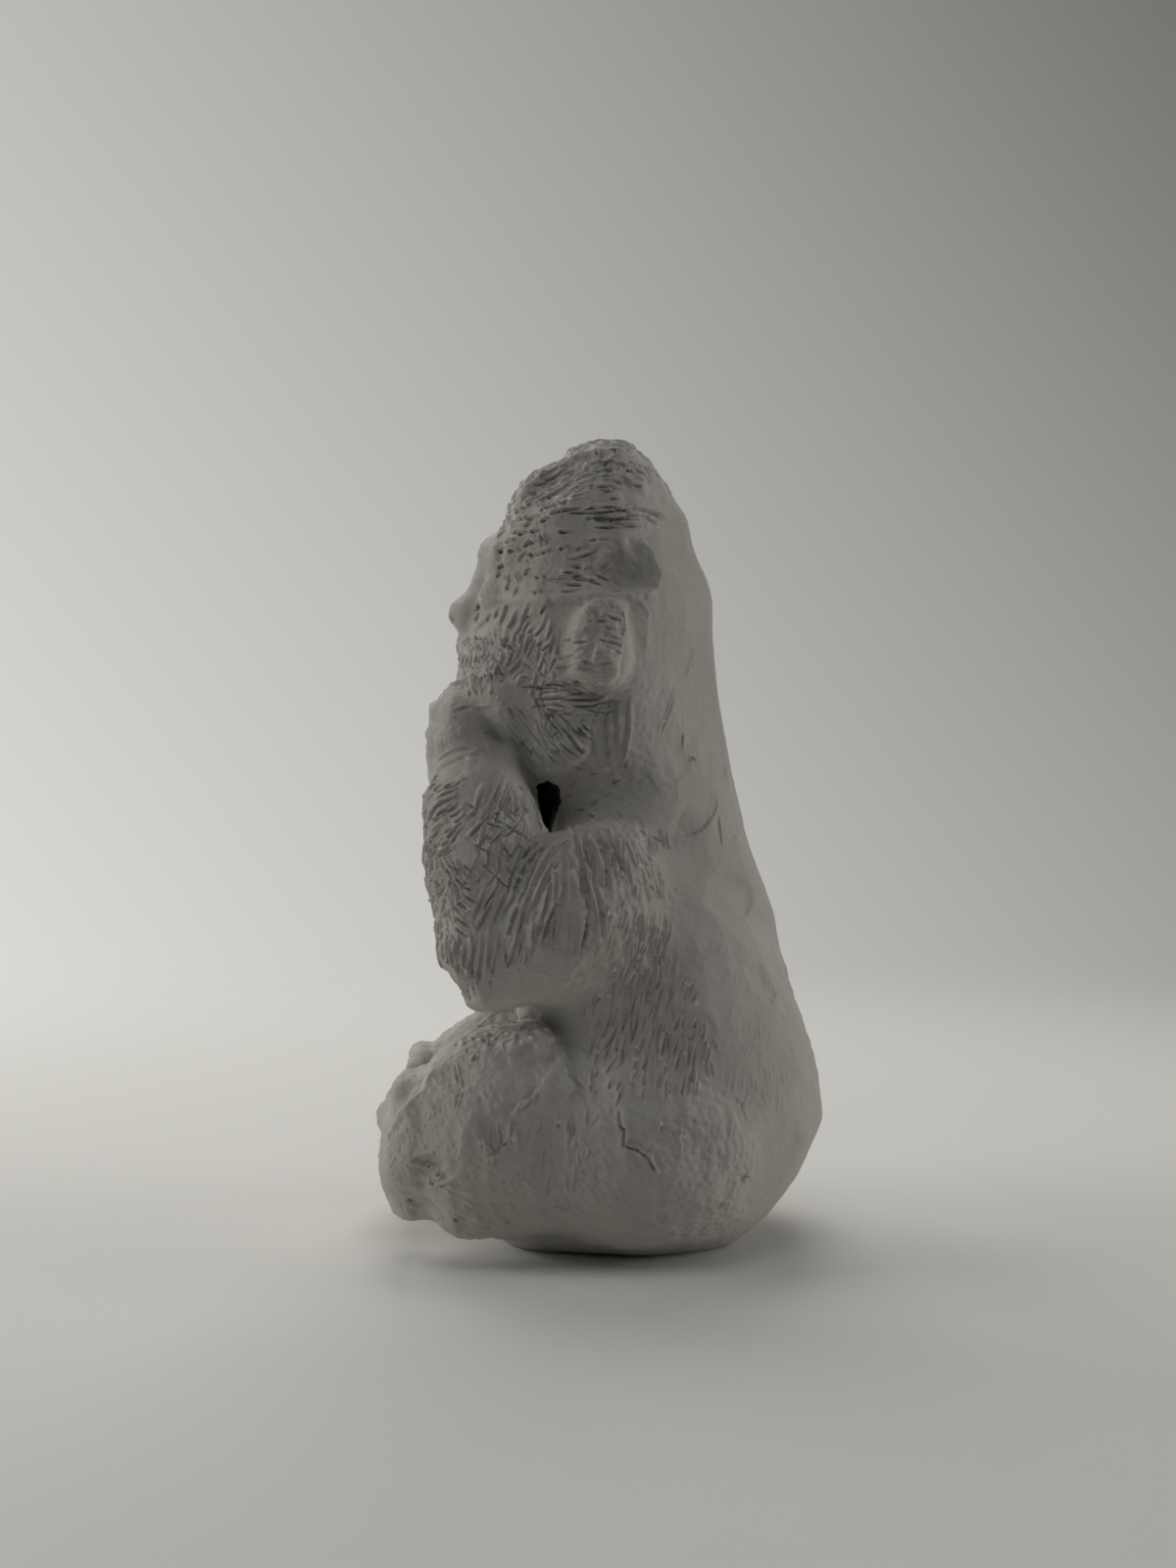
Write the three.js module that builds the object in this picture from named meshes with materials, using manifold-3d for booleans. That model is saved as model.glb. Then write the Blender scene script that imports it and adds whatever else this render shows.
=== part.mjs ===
// A seated clay monkey holding both hands to its mouth, hand built from rolled and pressed
// lumps of white clay. Each lump is a solid of its own, scooped out to sit on the lumps that
// were pressed before it, and a thin film of slip fills the joint between them.
// Millimetres, +Z up. The monkey faces -Y, and its left side is +X.
import * as THREE from 'three';
import { mergeVertices } from 'three/addons/utils/BufferGeometryUtils.js';
import Module from 'manifold-3d';

const wasm = await Module();
wasm.setup();

// Driving dimensions. A backset is measured towards +Y, and a foreset towards -Y.
const SLIP_GAP = 0.3; // film of slip between two lumps

// Trunk: one pear of clay from the seat up to the neck stub
const TRUNK_HEIGHT = 116;
const SEAT_PARING = 8; // pared off the round bottom to leave the flat seat
const SEAT_BACKSET = -4;
const SEAT_HALF_WIDTH = 28; // where the round bottom would end, under the table top
const HAUNCH_BACKSET = 8; // halfway up to the fullest part of the rump
const RUMP_HEIGHT = 33;
const RUMP_BACKSET = 14;
const RUMP_HALF_WIDTH = 38;
const RUMP_HALF_DEPTH = 36;
const WAIST_BACKSET = 13.4;
const WAIST_HALF_WIDTH = 35;
const WAIST_HALF_DEPTH = 31.5;
const CHEST_BACKSET = 10.5;
const CHEST_HALF_WIDTH = 31;
const CHEST_HALF_DEPTH = 26.5;
const NECK_BACKSET = 7;
const NECK_HALF_WIDTH = 26;
const NECK_HALF_DEPTH = 22.5;

// Head: a ball of clay set over the neck stub
const HEAD_SEAT = 25; // how far the head comes down over the neck stub
const HEAD_HEIGHT = 81.5;
const JAW_BACKSET = 0.5;
const JAW_HALF_WIDTH = 26.5;
const JAW_HALF_DEPTH = 24.2;
const CHEEK_FORESET = 1.5;
const CHEEK_HALF_WIDTH = 26.5;
const CHEEK_HALF_DEPTH = 22.6;
const CROWN_FORESET = 3;
const CROWN_HALF_WIDTH = 23.5;
const CROWN_HALF_DEPTH = 21.5;
const SCOOP_RISE = 57; // from the bottom of the head to the hollow that a thumb left in each temple
const SCOOP_BACKSET = 7.5;
const SCOOP_DEPTH = 3.4;
const SCOOP_HALF_THICKNESS = 6;
const SCOOP_HALF_LENGTH = 12;
const SCOOP_HALF_HEIGHT = 6.6;

// Mane: a slab of clay laid from the crown down the nape to the middle of the back
const MANE_THICKNESS = 5; // in the middle, from where it feathers out to both sides
const MANE_WRAP = 10; // how far it reaches forward round the sides of the head
const MANE_TOP_DROP = 8; // below the top of the head
const MANE_TOP_HALF_WIDTH = 15;
const MANE_NAPE_HALF_WIDTH = 22.5;
const MANE_TIP_HEIGHT = 66;
const MANE_TIP_HALF_WIDTH = 16;

// Crown cap: a flat pat of clay on top of the head
const CAP_HALF_WIDTH = 15;
const CAP_HALF_LENGTH = 12;
const CAP_HALF_THICKNESS = 5.5;
const CAP_SINK = 2.5; // how deep its middle lies below the top of the head
const CAP_BACKSET = 2.5;
const CAP_BACK_DROP = 8; // how far its back end lies below its middle

// Face
const MUZZLE_RISE = 33.5; // from the bottom of the head to the middle of the muzzle
const MUZZLE_SINK = 4; // how deep its middle lies behind the front of the head
const MUZZLE_HALF_WIDTH = 23.5;
const MUZZLE_HALF_DEPTH = 12.5;
const MUZZLE_HALF_HEIGHT = 17.5;
const NOSE_RISE = 11; // from the middle of the muzzle to the nostrils
const NOSE_FORESET = 7.5; // from the front of the head
const NOSE_HALF_WIDTH = 8;
const NOSE_HALF_DEPTH = 5;
const NOSE_LENGTH = 15; // from the nostrils up to the brow
const BRIDGE_HALF_WIDTH = 4.5;
const BRIDGE_HALF_DEPTH = 4;
const BROW_RISE = 26.5; // from the middle of the muzzle
const BROW_HALF_LENGTH = 17;
const BROW_HALF_HEIGHT = 5.8;
const BROW_HALF_DEPTH = 4.8;
const EYE_RISE = 18.5; // from the middle of the muzzle
const EYE_OUT = 10; // from the middle of the face
const EYE_RADIUS = 4;
const EYE_FORESET = 0.8; // from the front of the head
const EAR_RISE = 40.8; // from the bottom of the head
const EAR_BACKSET = -0.5;
const EAR_HALF_LENGTH = 6.8;
const EAR_HALF_HEIGHT = 9.6;
const EAR_HALF_THICKNESS = 5.2;

// Arms
const SHOULDER_DROP = 33; // below the top of the neck stub
const SHOULDER_BACKSET = 15;
const SHOULDER_SINK = 6; // how far the spine of the arm lies inside the side of the chest
const SHOULDER_HALF_WIDTH = 12;
const SHOULDER_HALF_HEIGHT = 16;
const UPPER_ARM_HALF_WIDTH = 13;
const UPPER_ARM_HALF_HEIGHT = 19;
const ELBOW_OUT = 32;
const ELBOW_FORESET = 23.4;
const ELBOW_HEIGHT = 66;
const ELBOW_HALF_WIDTH = 11;
const ELBOW_HALF_HEIGHT = 14;
const FOREARM_DROP = 11; // how far its lower end lies below the middle of the elbow
const FOREARM_HALF_WIDTH = 12.5;
const FOREARM_HALF_DEPTH = 13;
const WRIST_HALF_WIDTH = 10;
const WRIST_HALF_DEPTH = 10.2;
const WRIST_OUT = 5.5; // from the middle of the hand
const WRIST_BACKSET = 4.4; // from the middle of the hand

// Hands, held flat over the mouth with the fingers pointing inward
const HAND_DROP = 13.5; // from the middle of the muzzle to the middle of the hand
const HAND_SINK = 0.5; // how deep its middle lies behind the front of the muzzle
const HAND_MEETING_GAP = 0.8; // between the two hands
const HAND_HALF_LENGTH = 11;
const HAND_HALF_HEIGHT = 11;
const HAND_HALF_THICKNESS = 6.2;
const FINGER_RADIUS = 2.9;
const FINGER_SINK = 1.8; // how deep its middle lies in the hand
const FINGER_LENGTH = 14;
const FINGER_PITCH = 4.6;
const THUMB_RADIUS = 3.2;
const THUMB_LENGTH = 13;
const THUMB_TIP_OUT = 5.5; // from the middle of the hand, towards the other hand

// Legs, stretched forward and short, with the soles facing the front
const THIGH_SINK = 13; // how far the spine of the thigh lies inside the side of the rump
const THIGH_HALF_WIDTH = 17;
const THIGH_HALF_HEIGHT = 24;
const HIP_BACKSET = 31;
const HIP_HEIGHT = 26.5;
const KNEE_OUT = 29;
const KNEE_FORESET = 12;
const KNEE_HEIGHT = 27.5;
const KNEE_HALF_WIDTH = 16;
const KNEE_HALF_HEIGHT = 25;
const SHIN_HALF_WIDTH = 15;
const SHIN_HALF_HEIGHT = 22.9;
const ANKLE_HALF_WIDTH = 14.5;
const ANKLE_HALF_HEIGHT = 17;
const FOOT_OUT = 21.5;
const FOOT_FORESET = 42;
const FOOT_HEIGHT = 24.5;
const FOOT_LEAN = THREE.MathUtils.degToRad(28); // how far its upper half leans back
const FOOT_HALF_WIDTH = 13.5;
const HEEL_LENGTH = 17; // from the middle of the foot down to the heel
const BALL_LENGTH = 15; // from the middle of the foot up to the toes
const FOOT_HALF_THICKNESS = 6.5;
const TOE_RADIUS = 3.7;
const TOE_LENGTH = 11;
const TOE_CURL = 4; // how far a toe's tip stands in front of its root
const LITTLE_TOE_TURN = THREE.MathUtils.degToRad(-22); // from straight up, inward is positive
const TOE_SPREAD = THREE.MathUtils.degToRad(23); // from one toe to the next
const BIG_TOE_TURN = THREE.MathUtils.degToRad(88);
const BIG_TOE_RADIUS = 4.6;
const SHIN_OVERLAP = 0.7; // share of the thigh after which the shin's lump starts
const CALF_SHARE = 0.4; // how far from knee to foot the shin is fullest
const CALF_LIFT = 2; // how far it lies above the line from knee to foot there

// Bare clay, dry and unglazed
const CLAY_COLOUR = 0xcfccc4;
const CLAY_ROUGHNESS = 0.95;

// How blunt the ends of a lump are: 1 is as round as a ball's, and less is fuller
const ROUND = 1;
const FULL = 0.8;
const BLUNT = 0.5;
const SQUARE = 0.4;

// The curve of a lump's section: 2 is an ellipse, and more has fuller corners
const ELLIPSE = 2;
const BOXY = 2.5;

// Facets round a lump and rings along it
const LARGE = { sides: 26, rings: 16 };
const LIMB = { sides: 18, rings: 11 };
const SMALL = { sides: 14, rings: 8 };
const DIGIT = { sides: 8, rings: 6 };

const FORWARD = new THREE.Vector3(0, -1, 0);
const UPWARD = new THREE.Vector3(0, 0, 1);
const point = (x, y, z) => new THREE.Vector3(x, y, z);

// A lump is a ball of clay drawn out along a spine. Each station gives a point of the spine
// and the half sizes there: deep towards the facing direction, and wide across it. Its
// sections all lie square to the line between its two ends.
class Lump {
  constructor(stations, facing, bluntness, facets, curve = ELLIPSE) {
    this.spine = new THREE.CatmullRomCurve3(stations.map((station) => station.at));
    this.girth = new THREE.CatmullRomCurve3(
      stations.map((station) => point(station.wide, station.deep, 0)),
    );
    const along = this.spine.getPoint(1).sub(this.spine.getPoint(0)).normalize();
    const across = facing.clone().cross(along).normalize();
    const front = along.clone().cross(across);
    Object.assign(this, { along, across, front, bluntness, facets, curve });
  }

  // The section a share s of the way along the spine, drawn in towards the two ends.
  section(s) {
    const centre = this.spine.getPoint(s);
    const fullness = Math.sqrt(Math.max(0, 1 - (2 * s - 1) ** 2)) ** this.bluntness;
    const { x: wide, y: deep } = this.girth.getPoint(s).multiplyScalar(fullness);
    return { centre, wide, deep };
  }

  // A sine or cosine on an ellipse, moved out to the curve of the section.
  swell(share) {
    return Math.sign(share) * Math.abs(share) ** (2 / this.curve);
  }

  // The point on the front of an upright lump, a distance x to the left of its middle.
  frontAt(s, x = 0) {
    const { centre, wide, deep } = this.section(s);
    const roundness = Math.max(0, 1 - Math.abs(x / wide) ** this.curve) ** (1 / this.curve);
    return centre.addScaledVector(this.front, deep * roundness).add(point(x, 0, 0));
  }

  backAt(s) {
    const { centre, deep } = this.section(s);
    return centre.addScaledVector(this.front, -deep);
  }

  // The outermost point of an upright lump on its left (side 1) or its right (side -1).
  sideAt(s, side) {
    const { centre, wide } = this.section(s);
    return centre.add(point(side * wide, 0, 0));
  }

  // A unit ball whose poles go to the ends of the spine and whose rings become the sections.
  geometry(grow = 0) {
    const ball = new THREE.SphereGeometry(1, this.facets.sides, this.facets.rings);
    const positions = ball.getAttribute('position');
    const unit = new THREE.Vector3();
    for (let i = 0; i < positions.count; i++) {
      unit.fromBufferAttribute(positions, i);
      const s = THREE.MathUtils.clamp((1 - unit.y) / 2, 0, 1);
      const { centre, wide, deep } = this.section(s);
      const angle = Math.atan2(unit.z, unit.x);
      const atPole = Math.hypot(unit.x, unit.z) < 1e-6;
      centre.addScaledVector(this.along, -unit.y * grow);
      if (!atPole) {
        centre.addScaledVector(this.across, this.swell(Math.cos(angle)) * (wide + grow));
        centre.addScaledVector(this.front, this.swell(Math.sin(angle)) * (deep + grow));
      }
      positions.setXYZ(i, centre.x, centre.y, centre.z);
    }
    return ball;
  }
}

// A rounded pad with the given half sizes along X, Y and Z.
function pad(centre, half, bluntness = ROUND, facets = SMALL, curve = ELLIPSE) {
  const rise = UPWARD.clone().multiplyScalar(half.z);
  const girth = { wide: half.x, deep: half.y };
  const ends = [centre.clone().sub(rise), centre.clone(), centre.clone().add(rise)];
  return new Lump(ends.map((at) => ({ at, ...girth })), FORWARD, bluntness, facets, curve);
}

// A roll of clay with blunt ends, for a finger or a toe.
function roll(from, to, radius, facing) {
  const girth = { wide: radius, deep: radius };
  return new Lump([from, to].map((at) => ({ at, ...girth })), facing, BLUNT, DIGIT);
}

// A closed three.js geometry as a solid for joining and cutting.
function solidOf(geometry) {
  const bare = new THREE.BufferGeometry()
    .setAttribute('position', geometry.getAttribute('position'))
    .setIndex(geometry.index);
  const merged = mergeVertices(bare, 1e-4);
  return new wasm.Manifold(
    new wasm.Mesh({
      numProp: 3,
      vertProperties: new Float32Array(merged.getAttribute('position').array),
      triVerts: new Uint32Array(merged.index.array),
    }),
  );
}

function geometryOf(solid) {
  const { vertProperties, triVerts } = solid.getMesh();
  return new THREE.BufferGeometry()
    .setAttribute('position', new THREE.BufferAttribute(vertProperties, 3))
    .setIndex(new THREE.BufferAttribute(triVerts, 1));
}

const figure = new THREE.Group();

// What a new lump is scooped out by: the table top, and each lump so far with its slip.
const TABLE_SIZE = 1000;
let seats = solidOf(
  new THREE.BoxGeometry(TABLE_SIZE, TABLE_SIZE, TABLE_SIZE).translate(0, 0, -TABLE_SIZE / 2),
);

function press(name, lump, scoops = []) {
  const scooped = (solid) => scoops.reduce((rest, scoop) => rest.subtract(scoop), solid);
  // Pressing can pinch off a crumb on the far side of a seat. The lump is what stays.
  const pieces = scooped(solidOf(lump.geometry())).subtract(seats).decompose();
  const [kept] = pieces.sort((a, b) => b.volume() - a.volume());
  const clay = new THREE.MeshStandardMaterial({
    color: CLAY_COLOUR,
    roughness: CLAY_ROUGHNESS,
    metalness: 0,
  });
  const mesh = new THREE.Mesh(geometryOf(kept), clay);
  mesh.name = name;
  figure.add(mesh);
  seats = seats.add(scooped(solidOf(lump.geometry(SLIP_GAP))));
  return lump;
}

function makeTrunk() {
  const rump = { wide: RUMP_HALF_WIDTH, deep: RUMP_HALF_DEPTH };
  const seat = { wide: SEAT_HALF_WIDTH, deep: RUMP_HALF_DEPTH };
  const waist = { wide: WAIST_HALF_WIDTH, deep: WAIST_HALF_DEPTH };
  const chest = { wide: CHEST_HALF_WIDTH, deep: CHEST_HALF_DEPTH };
  const neck = { wide: NECK_HALF_WIDTH, deep: NECK_HALF_DEPTH };
  const haunchHeight = (RUMP_HEIGHT - SEAT_PARING) / 2;
  const above = (share) => THREE.MathUtils.lerp(RUMP_HEIGHT, TRUNK_HEIGHT, share);
  const stations = [
    { at: point(0, SEAT_BACKSET, -SEAT_PARING), ...seat },
    { at: point(0, HAUNCH_BACKSET, haunchHeight), ...rump },
    { at: point(0, RUMP_BACKSET, above(0)), ...rump },
    { at: point(0, WAIST_BACKSET, above(0.25)), ...waist },
    { at: point(0, CHEST_BACKSET, above(0.5)), ...chest },
    { at: point(0, NECK_BACKSET, above(0.75)), ...neck },
    { at: point(0, NECK_BACKSET, above(1)), ...neck },
  ];
  return press('trunk', new Lump(stations, FORWARD, BLUNT, LARGE, BOXY));
}
const trunk = makeTrunk();
const trunkShare = (height) => (height + SEAT_PARING) / (TRUNK_HEIGHT + SEAT_PARING);

const HEAD_BOTTOM = TRUNK_HEIGHT - HEAD_SEAT;
const headShare = (rise) => rise / HEAD_HEIGHT;

function makeHead() {
  const jaw = { wide: JAW_HALF_WIDTH, deep: JAW_HALF_DEPTH };
  const cheek = { wide: CHEEK_HALF_WIDTH, deep: CHEEK_HALF_DEPTH };
  const crown = { wide: CROWN_HALF_WIDTH, deep: CROWN_HALF_DEPTH };
  const above = (share) => HEAD_BOTTOM + share * HEAD_HEIGHT;
  const stations = [
    { at: point(0, JAW_BACKSET, above(0)), ...jaw },
    { at: point(0, JAW_BACKSET, above(0.2)), ...jaw },
    { at: point(0, -CHEEK_FORESET, above(0.4)), ...cheek },
    { at: point(0, -CHEEK_FORESET, above(0.6)), ...cheek },
    { at: point(0, -CROWN_FORESET, above(0.8)), ...crown },
    { at: point(0, -CROWN_FORESET, above(1)), ...crown },
  ];
  const ball = new Lump(stations, FORWARD, BLUNT, LARGE, BOXY);
  const half = point(SCOOP_HALF_THICKNESS, SCOOP_HALF_LENGTH, SCOOP_HALF_HEIGHT);
  const scoops = [1, -1].map((side) => {
    const temple = ball.sideAt(headShare(SCOOP_RISE), side);
    const out = side * (SCOOP_HALF_THICKNESS - SCOOP_DEPTH);
    return solidOf(pad(temple.add(point(out, SCOOP_BACKSET, 0)), half, FULL).geometry());
  });
  return press('head', ball, scoops);
}
const head = makeHead();

// The mane wraps the back of the head, bridges the nape and feathers out on the back.
function makeMane() {
  const deep = MANE_THICKNESS + MANE_WRAP;
  const inside = point(0, -MANE_WRAP, 0);
  const topShare = headShare(HEAD_HEIGHT - MANE_TOP_DROP);
  const shoulderHeight = (HEAD_BOTTOM + MANE_TIP_HEIGHT) / 2;
  const stations = [
    { at: head.backAt(topShare), wide: MANE_TOP_HALF_WIDTH },
    { at: head.backAt(topShare * 0.8), wide: MANE_NAPE_HALF_WIDTH },
    { at: head.backAt(topShare * 0.6), wide: MANE_NAPE_HALF_WIDTH },
    { at: head.backAt(topShare * 0.4), wide: MANE_NAPE_HALF_WIDTH },
    { at: trunk.backAt(trunkShare(shoulderHeight)), wide: MANE_NAPE_HALF_WIDTH },
    { at: trunk.backAt(trunkShare(MANE_TIP_HEIGHT)), wide: MANE_TIP_HALF_WIDTH },
  ];
  const sunk = stations.map(({ at, wide }) => ({ at: at.add(inside), wide, deep }));
  press('mane', new Lump(sunk, FORWARD, SQUARE, LARGE));
}
makeMane();

function makeCrownCap() {
  const girth = { wide: CAP_HALF_WIDTH, deep: CAP_HALF_THICKNESS };
  const centre = point(0, CAP_BACKSET, HEAD_BOTTOM + HEAD_HEIGHT - CAP_SINK);
  const front = centre.clone().add(point(0, -CAP_HALF_LENGTH, 0));
  const back = centre.clone().add(point(0, CAP_HALF_LENGTH, -CAP_BACK_DROP));
  const stations = [front, centre, back].map((at) => ({ at, ...girth }));
  press('crown_cap', new Lump(stations, UPWARD, BLUNT, SMALL));
}
makeCrownCap();

function makeMuzzle() {
  const half = point(MUZZLE_HALF_WIDTH, MUZZLE_HALF_DEPTH, MUZZLE_HALF_HEIGHT);
  const centre = head.frontAt(headShare(MUZZLE_RISE)).add(point(0, MUZZLE_SINK, 0));
  press('muzzle', pad(centre, half, FULL, LIMB, BOXY));
  return centre;
}
const muzzleCentre = makeMuzzle();

// The nose is a wedge of clay from the brow down to the nostrils, where it stands out furthest.
function makeNose() {
  const face = (rise) => head.frontAt(headShare(MUZZLE_RISE + NOSE_RISE + rise));
  const bridge = { wide: BRIDGE_HALF_WIDTH, deep: BRIDGE_HALF_DEPTH };
  const nostrils = { wide: NOSE_HALF_WIDTH, deep: NOSE_HALF_DEPTH };
  const foot = face(0).add(point(0, -NOSE_FORESET, 0));
  const stations = [
    { at: foot, ...nostrils },
    { at: foot.clone().lerp(face(NOSE_LENGTH), 0.3), ...nostrils },
    { at: face(NOSE_LENGTH), ...bridge },
  ];
  press('nose', new Lump(stations, FORWARD, BLUNT, SMALL));
}
makeNose();

// The brow is a roll of clay bent round the front of the head above the eyes.
function makeBrow() {
  const girth = { wide: BROW_HALF_HEIGHT, deep: BROW_HALF_DEPTH };
  const share = headShare(MUZZLE_RISE + BROW_RISE);
  const places = [-1, -0.5, 0, 0.5, 1].map((place) => place * BROW_HALF_LENGTH);
  const stations = places.map((x) => ({ at: head.frontAt(share, x), ...girth }));
  press('brow_ridge', new Lump(stations, FORWARD, BLUNT, SMALL));
}
makeBrow();

function makeEye(name, side) {
  const socket = head.frontAt(headShare(MUZZLE_RISE + EYE_RISE), side * EYE_OUT);
  const centre = socket.add(point(0, -EYE_FORESET, 0));
  press(name, pad(centre, point(EYE_RADIUS, EYE_RADIUS, EYE_RADIUS), ROUND, DIGIT));
}

function makeEar(name, side) {
  const half = point(EAR_HALF_THICKNESS, EAR_HALF_LENGTH, EAR_HALF_HEIGHT);
  const cheek = head.sideAt(headShare(EAR_RISE), side);
  press(name, pad(point(cheek.x, EAR_BACKSET, cheek.z), half, FULL));
}

// The upper arm runs from the side of the chest to the elbow, and the forearm stands on it.
function makeArm(name, side) {
  const shoulderHeight = TRUNK_HEIGHT - SHOULDER_DROP;
  const chestSide = trunk.sideAt(trunkShare(shoulderHeight), side);
  const shoulder = point(chestSide.x - side * SHOULDER_SINK, SHOULDER_BACKSET, shoulderHeight);
  const elbow = point(side * ELBOW_OUT, -ELBOW_FORESET, ELBOW_HEIGHT);
  const middle = shoulder.clone().lerp(elbow, 0.5);
  const upperArm = [
    { at: shoulder, wide: SHOULDER_HALF_WIDTH, deep: SHOULDER_HALF_HEIGHT },
    { at: middle, wide: UPPER_ARM_HALF_WIDTH, deep: UPPER_ARM_HALF_HEIGHT },
    { at: elbow, wide: ELBOW_HALF_WIDTH, deep: ELBOW_HALF_HEIGHT },
  ];
  press(`${name}_upper_arm`, new Lump(upperArm, UPWARD, SQUARE, LIMB));

  const hand = handCentre(side);
  const wrist = hand.clone().add(point(side * WRIST_OUT, WRIST_BACKSET, 0));
  const foot = elbow.clone().add(point(0, 0, -FOREARM_DROP));
  const forearm = [
    { at: foot, wide: ELBOW_HALF_WIDTH, deep: ELBOW_HALF_WIDTH },
    { at: foot.clone().lerp(wrist, 0.5), wide: FOREARM_HALF_WIDTH, deep: FOREARM_HALF_DEPTH },
    { at: wrist, wide: WRIST_HALF_WIDTH, deep: WRIST_HALF_DEPTH },
  ];
  press(`${name}_forearm`, new Lump(forearm, FORWARD, SQUARE, LIMB));
}

function handCentre(side) {
  const x = side * (HAND_HALF_LENGTH + HAND_MEETING_GAP / 2);
  const front = muzzleCentre.y - MUZZLE_HALF_DEPTH;
  return point(x, front + HAND_SINK, muzzleCentre.z - HAND_DROP);
}

// Four fingers lie across the back of the hand, and the thumb along its upper edge.
function makeHand(name, side) {
  const centre = handCentre(side);
  const half = point(HAND_HALF_LENGTH, HAND_HALF_THICKNESS, HAND_HALF_HEIGHT);
  const hand = press(`${name}_hand`, pad(centre, half, BLUNT, LIMB));
  const fingers = ['index', 'middle', 'ring', 'little'];
  fingers.forEach((finger, i) => {
    const rise = ((fingers.length - 1) / 2 - i) * FINGER_PITCH;
    const share = (rise / HAND_HALF_HEIGHT + 1) / 2;
    const girth = { wide: FINGER_RADIUS, deep: FINGER_RADIUS };
    const stations = [0, 0.33, 0.67, 1].map((place) => {
      const fromTip = place * FINGER_LENGTH + FINGER_RADIUS - HAND_HALF_LENGTH;
      const skin = hand.frontAt(share, side * fromTip);
      return { at: skin.add(point(0, FINGER_SINK, 0)), ...girth };
    });
    press(`${name}_${finger}_finger`, new Lump(stations, FORWARD, BLUNT, DIGIT));
  });
  const thumbTip = centre.clone().add(point(-side * THUMB_TIP_OUT, 0, HAND_HALF_HEIGHT));
  const thumbRoot = thumbTip.clone().add(point(side * THUMB_LENGTH, 0, -THUMB_RADIUS));
  press(`${name}_thumb`, roll(thumbRoot, thumbTip, THUMB_RADIUS, FORWARD));
}

function makeLeg(name, side) {
  const rumpSide = trunk.sideAt(trunkShare(HIP_HEIGHT), side);
  const hip = point(rumpSide.x - side * THIGH_SINK, HIP_BACKSET, HIP_HEIGHT);
  const knee = point(side * KNEE_OUT, -KNEE_FORESET, KNEE_HEIGHT);
  const foot = point(side * FOOT_OUT, -FOOT_FORESET, FOOT_HEIGHT);
  const thighGirth = { wide: THIGH_HALF_WIDTH, deep: THIGH_HALF_HEIGHT };
  const kneeGirth = { wide: KNEE_HALF_WIDTH, deep: KNEE_HALF_HEIGHT };
  const shinGirth = { wide: SHIN_HALF_WIDTH, deep: SHIN_HALF_HEIGHT };
  const ankleGirth = { wide: ANKLE_HALF_WIDTH, deep: ANKLE_HALF_HEIGHT };
  const thigh = [
    { at: hip, ...thighGirth },
    { at: hip.clone().lerp(knee, 0.5), ...thighGirth },
    { at: knee, ...kneeGirth },
  ];
  press(`${name}_thigh`, new Lump(thigh, UPWARD, SQUARE, LIMB));
  const shin = [
    { at: hip.clone().lerp(knee, SHIN_OVERLAP), ...shinGirth },
    { at: knee.clone().lerp(foot, CALF_SHARE).addScaledVector(UPWARD, CALF_LIFT), ...shinGirth },
    { at: foot, ...ankleGirth },
  ];
  press(`${name}_shin`, new Lump(shin, UPWARD, SQUARE, LIMB));
  makeFoot(name, side, foot);
}

// The foot is a thick sole pressed on the end of the shin. Its heel half stands upright, its
// upper half leans back, and the toes fan round the ball of the foot.
function makeFoot(name, side, centre) {
  const upSole = point(0, Math.sin(FOOT_LEAN), Math.cos(FOOT_LEAN));
  const outOfSole = point(0, -Math.cos(FOOT_LEAN), Math.sin(FOOT_LEAN));
  const inward = point(-side, 0, 0);
  const girth = { wide: FOOT_HALF_WIDTH, deep: FOOT_HALF_THICKNESS };
  const heel = centre.clone().addScaledVector(UPWARD, -HEEL_LENGTH);
  const tip = centre.clone().addScaledVector(upSole, BALL_LENGTH);
  const stations = [heel, centre, tip].map((at) => ({ at, ...girth }));
  press(`${name}_foot`, new Lump(stations, outOfSole, BLUNT, LIMB));

  const ball = tip.clone().addScaledVector(upSole, -FOOT_HALF_WIDTH);
  const toe = (toeName, turn, radius) => {
    const outward = inward.clone().multiplyScalar(Math.sin(turn));
    outward.addScaledVector(upSole, Math.cos(turn));
    const toeTip = ball.clone().addScaledVector(outward, FOOT_HALF_WIDTH);
    const toeRoot = toeTip.clone().addScaledVector(outward, -TOE_LENGTH);
    toeTip.addScaledVector(outOfSole, FOOT_HALF_THICKNESS);
    toeRoot.addScaledVector(outOfSole, FOOT_HALF_THICKNESS - TOE_CURL);
    press(`${name}_${toeName}_toe`, roll(toeRoot, toeTip, radius, outOfSole));
  };
  ['little', 'fourth', 'third', 'second'].forEach((toeName, i) => {
    toe(toeName, LITTLE_TOE_TURN + i * TOE_SPREAD, TOE_RADIUS);
  });
  toe('big', BIG_TOE_TURN, BIG_TOE_RADIUS);
}

const SIDES = { left: 1, right: -1 };
for (const [name, side] of Object.entries(SIDES)) {
  makeEye(`${name}_eye`, side);
  makeEar(`${name}_ear`, side);
}
for (const [name, side] of Object.entries(SIDES)) {
  makeArm(name, side);
}
for (const [name, side] of Object.entries(SIDES)) {
  makeHand(name, side);
}
for (const [name, side] of Object.entries(SIDES)) {
  makeLeg(name, side);
}

// The origin lies on the table top, under the middle of the figure's length.
const outline = new THREE.Box3().setFromObject(figure);
figure.position.y = -(outline.min.y + outline.max.y) / 2;

export default figure;
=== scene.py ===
import math
import random

import bmesh
import bpy
import numpy as np
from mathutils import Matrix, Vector
from mathutils.bvhtree import BVHTree
from mathutils.kdtree import KDTree


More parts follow.
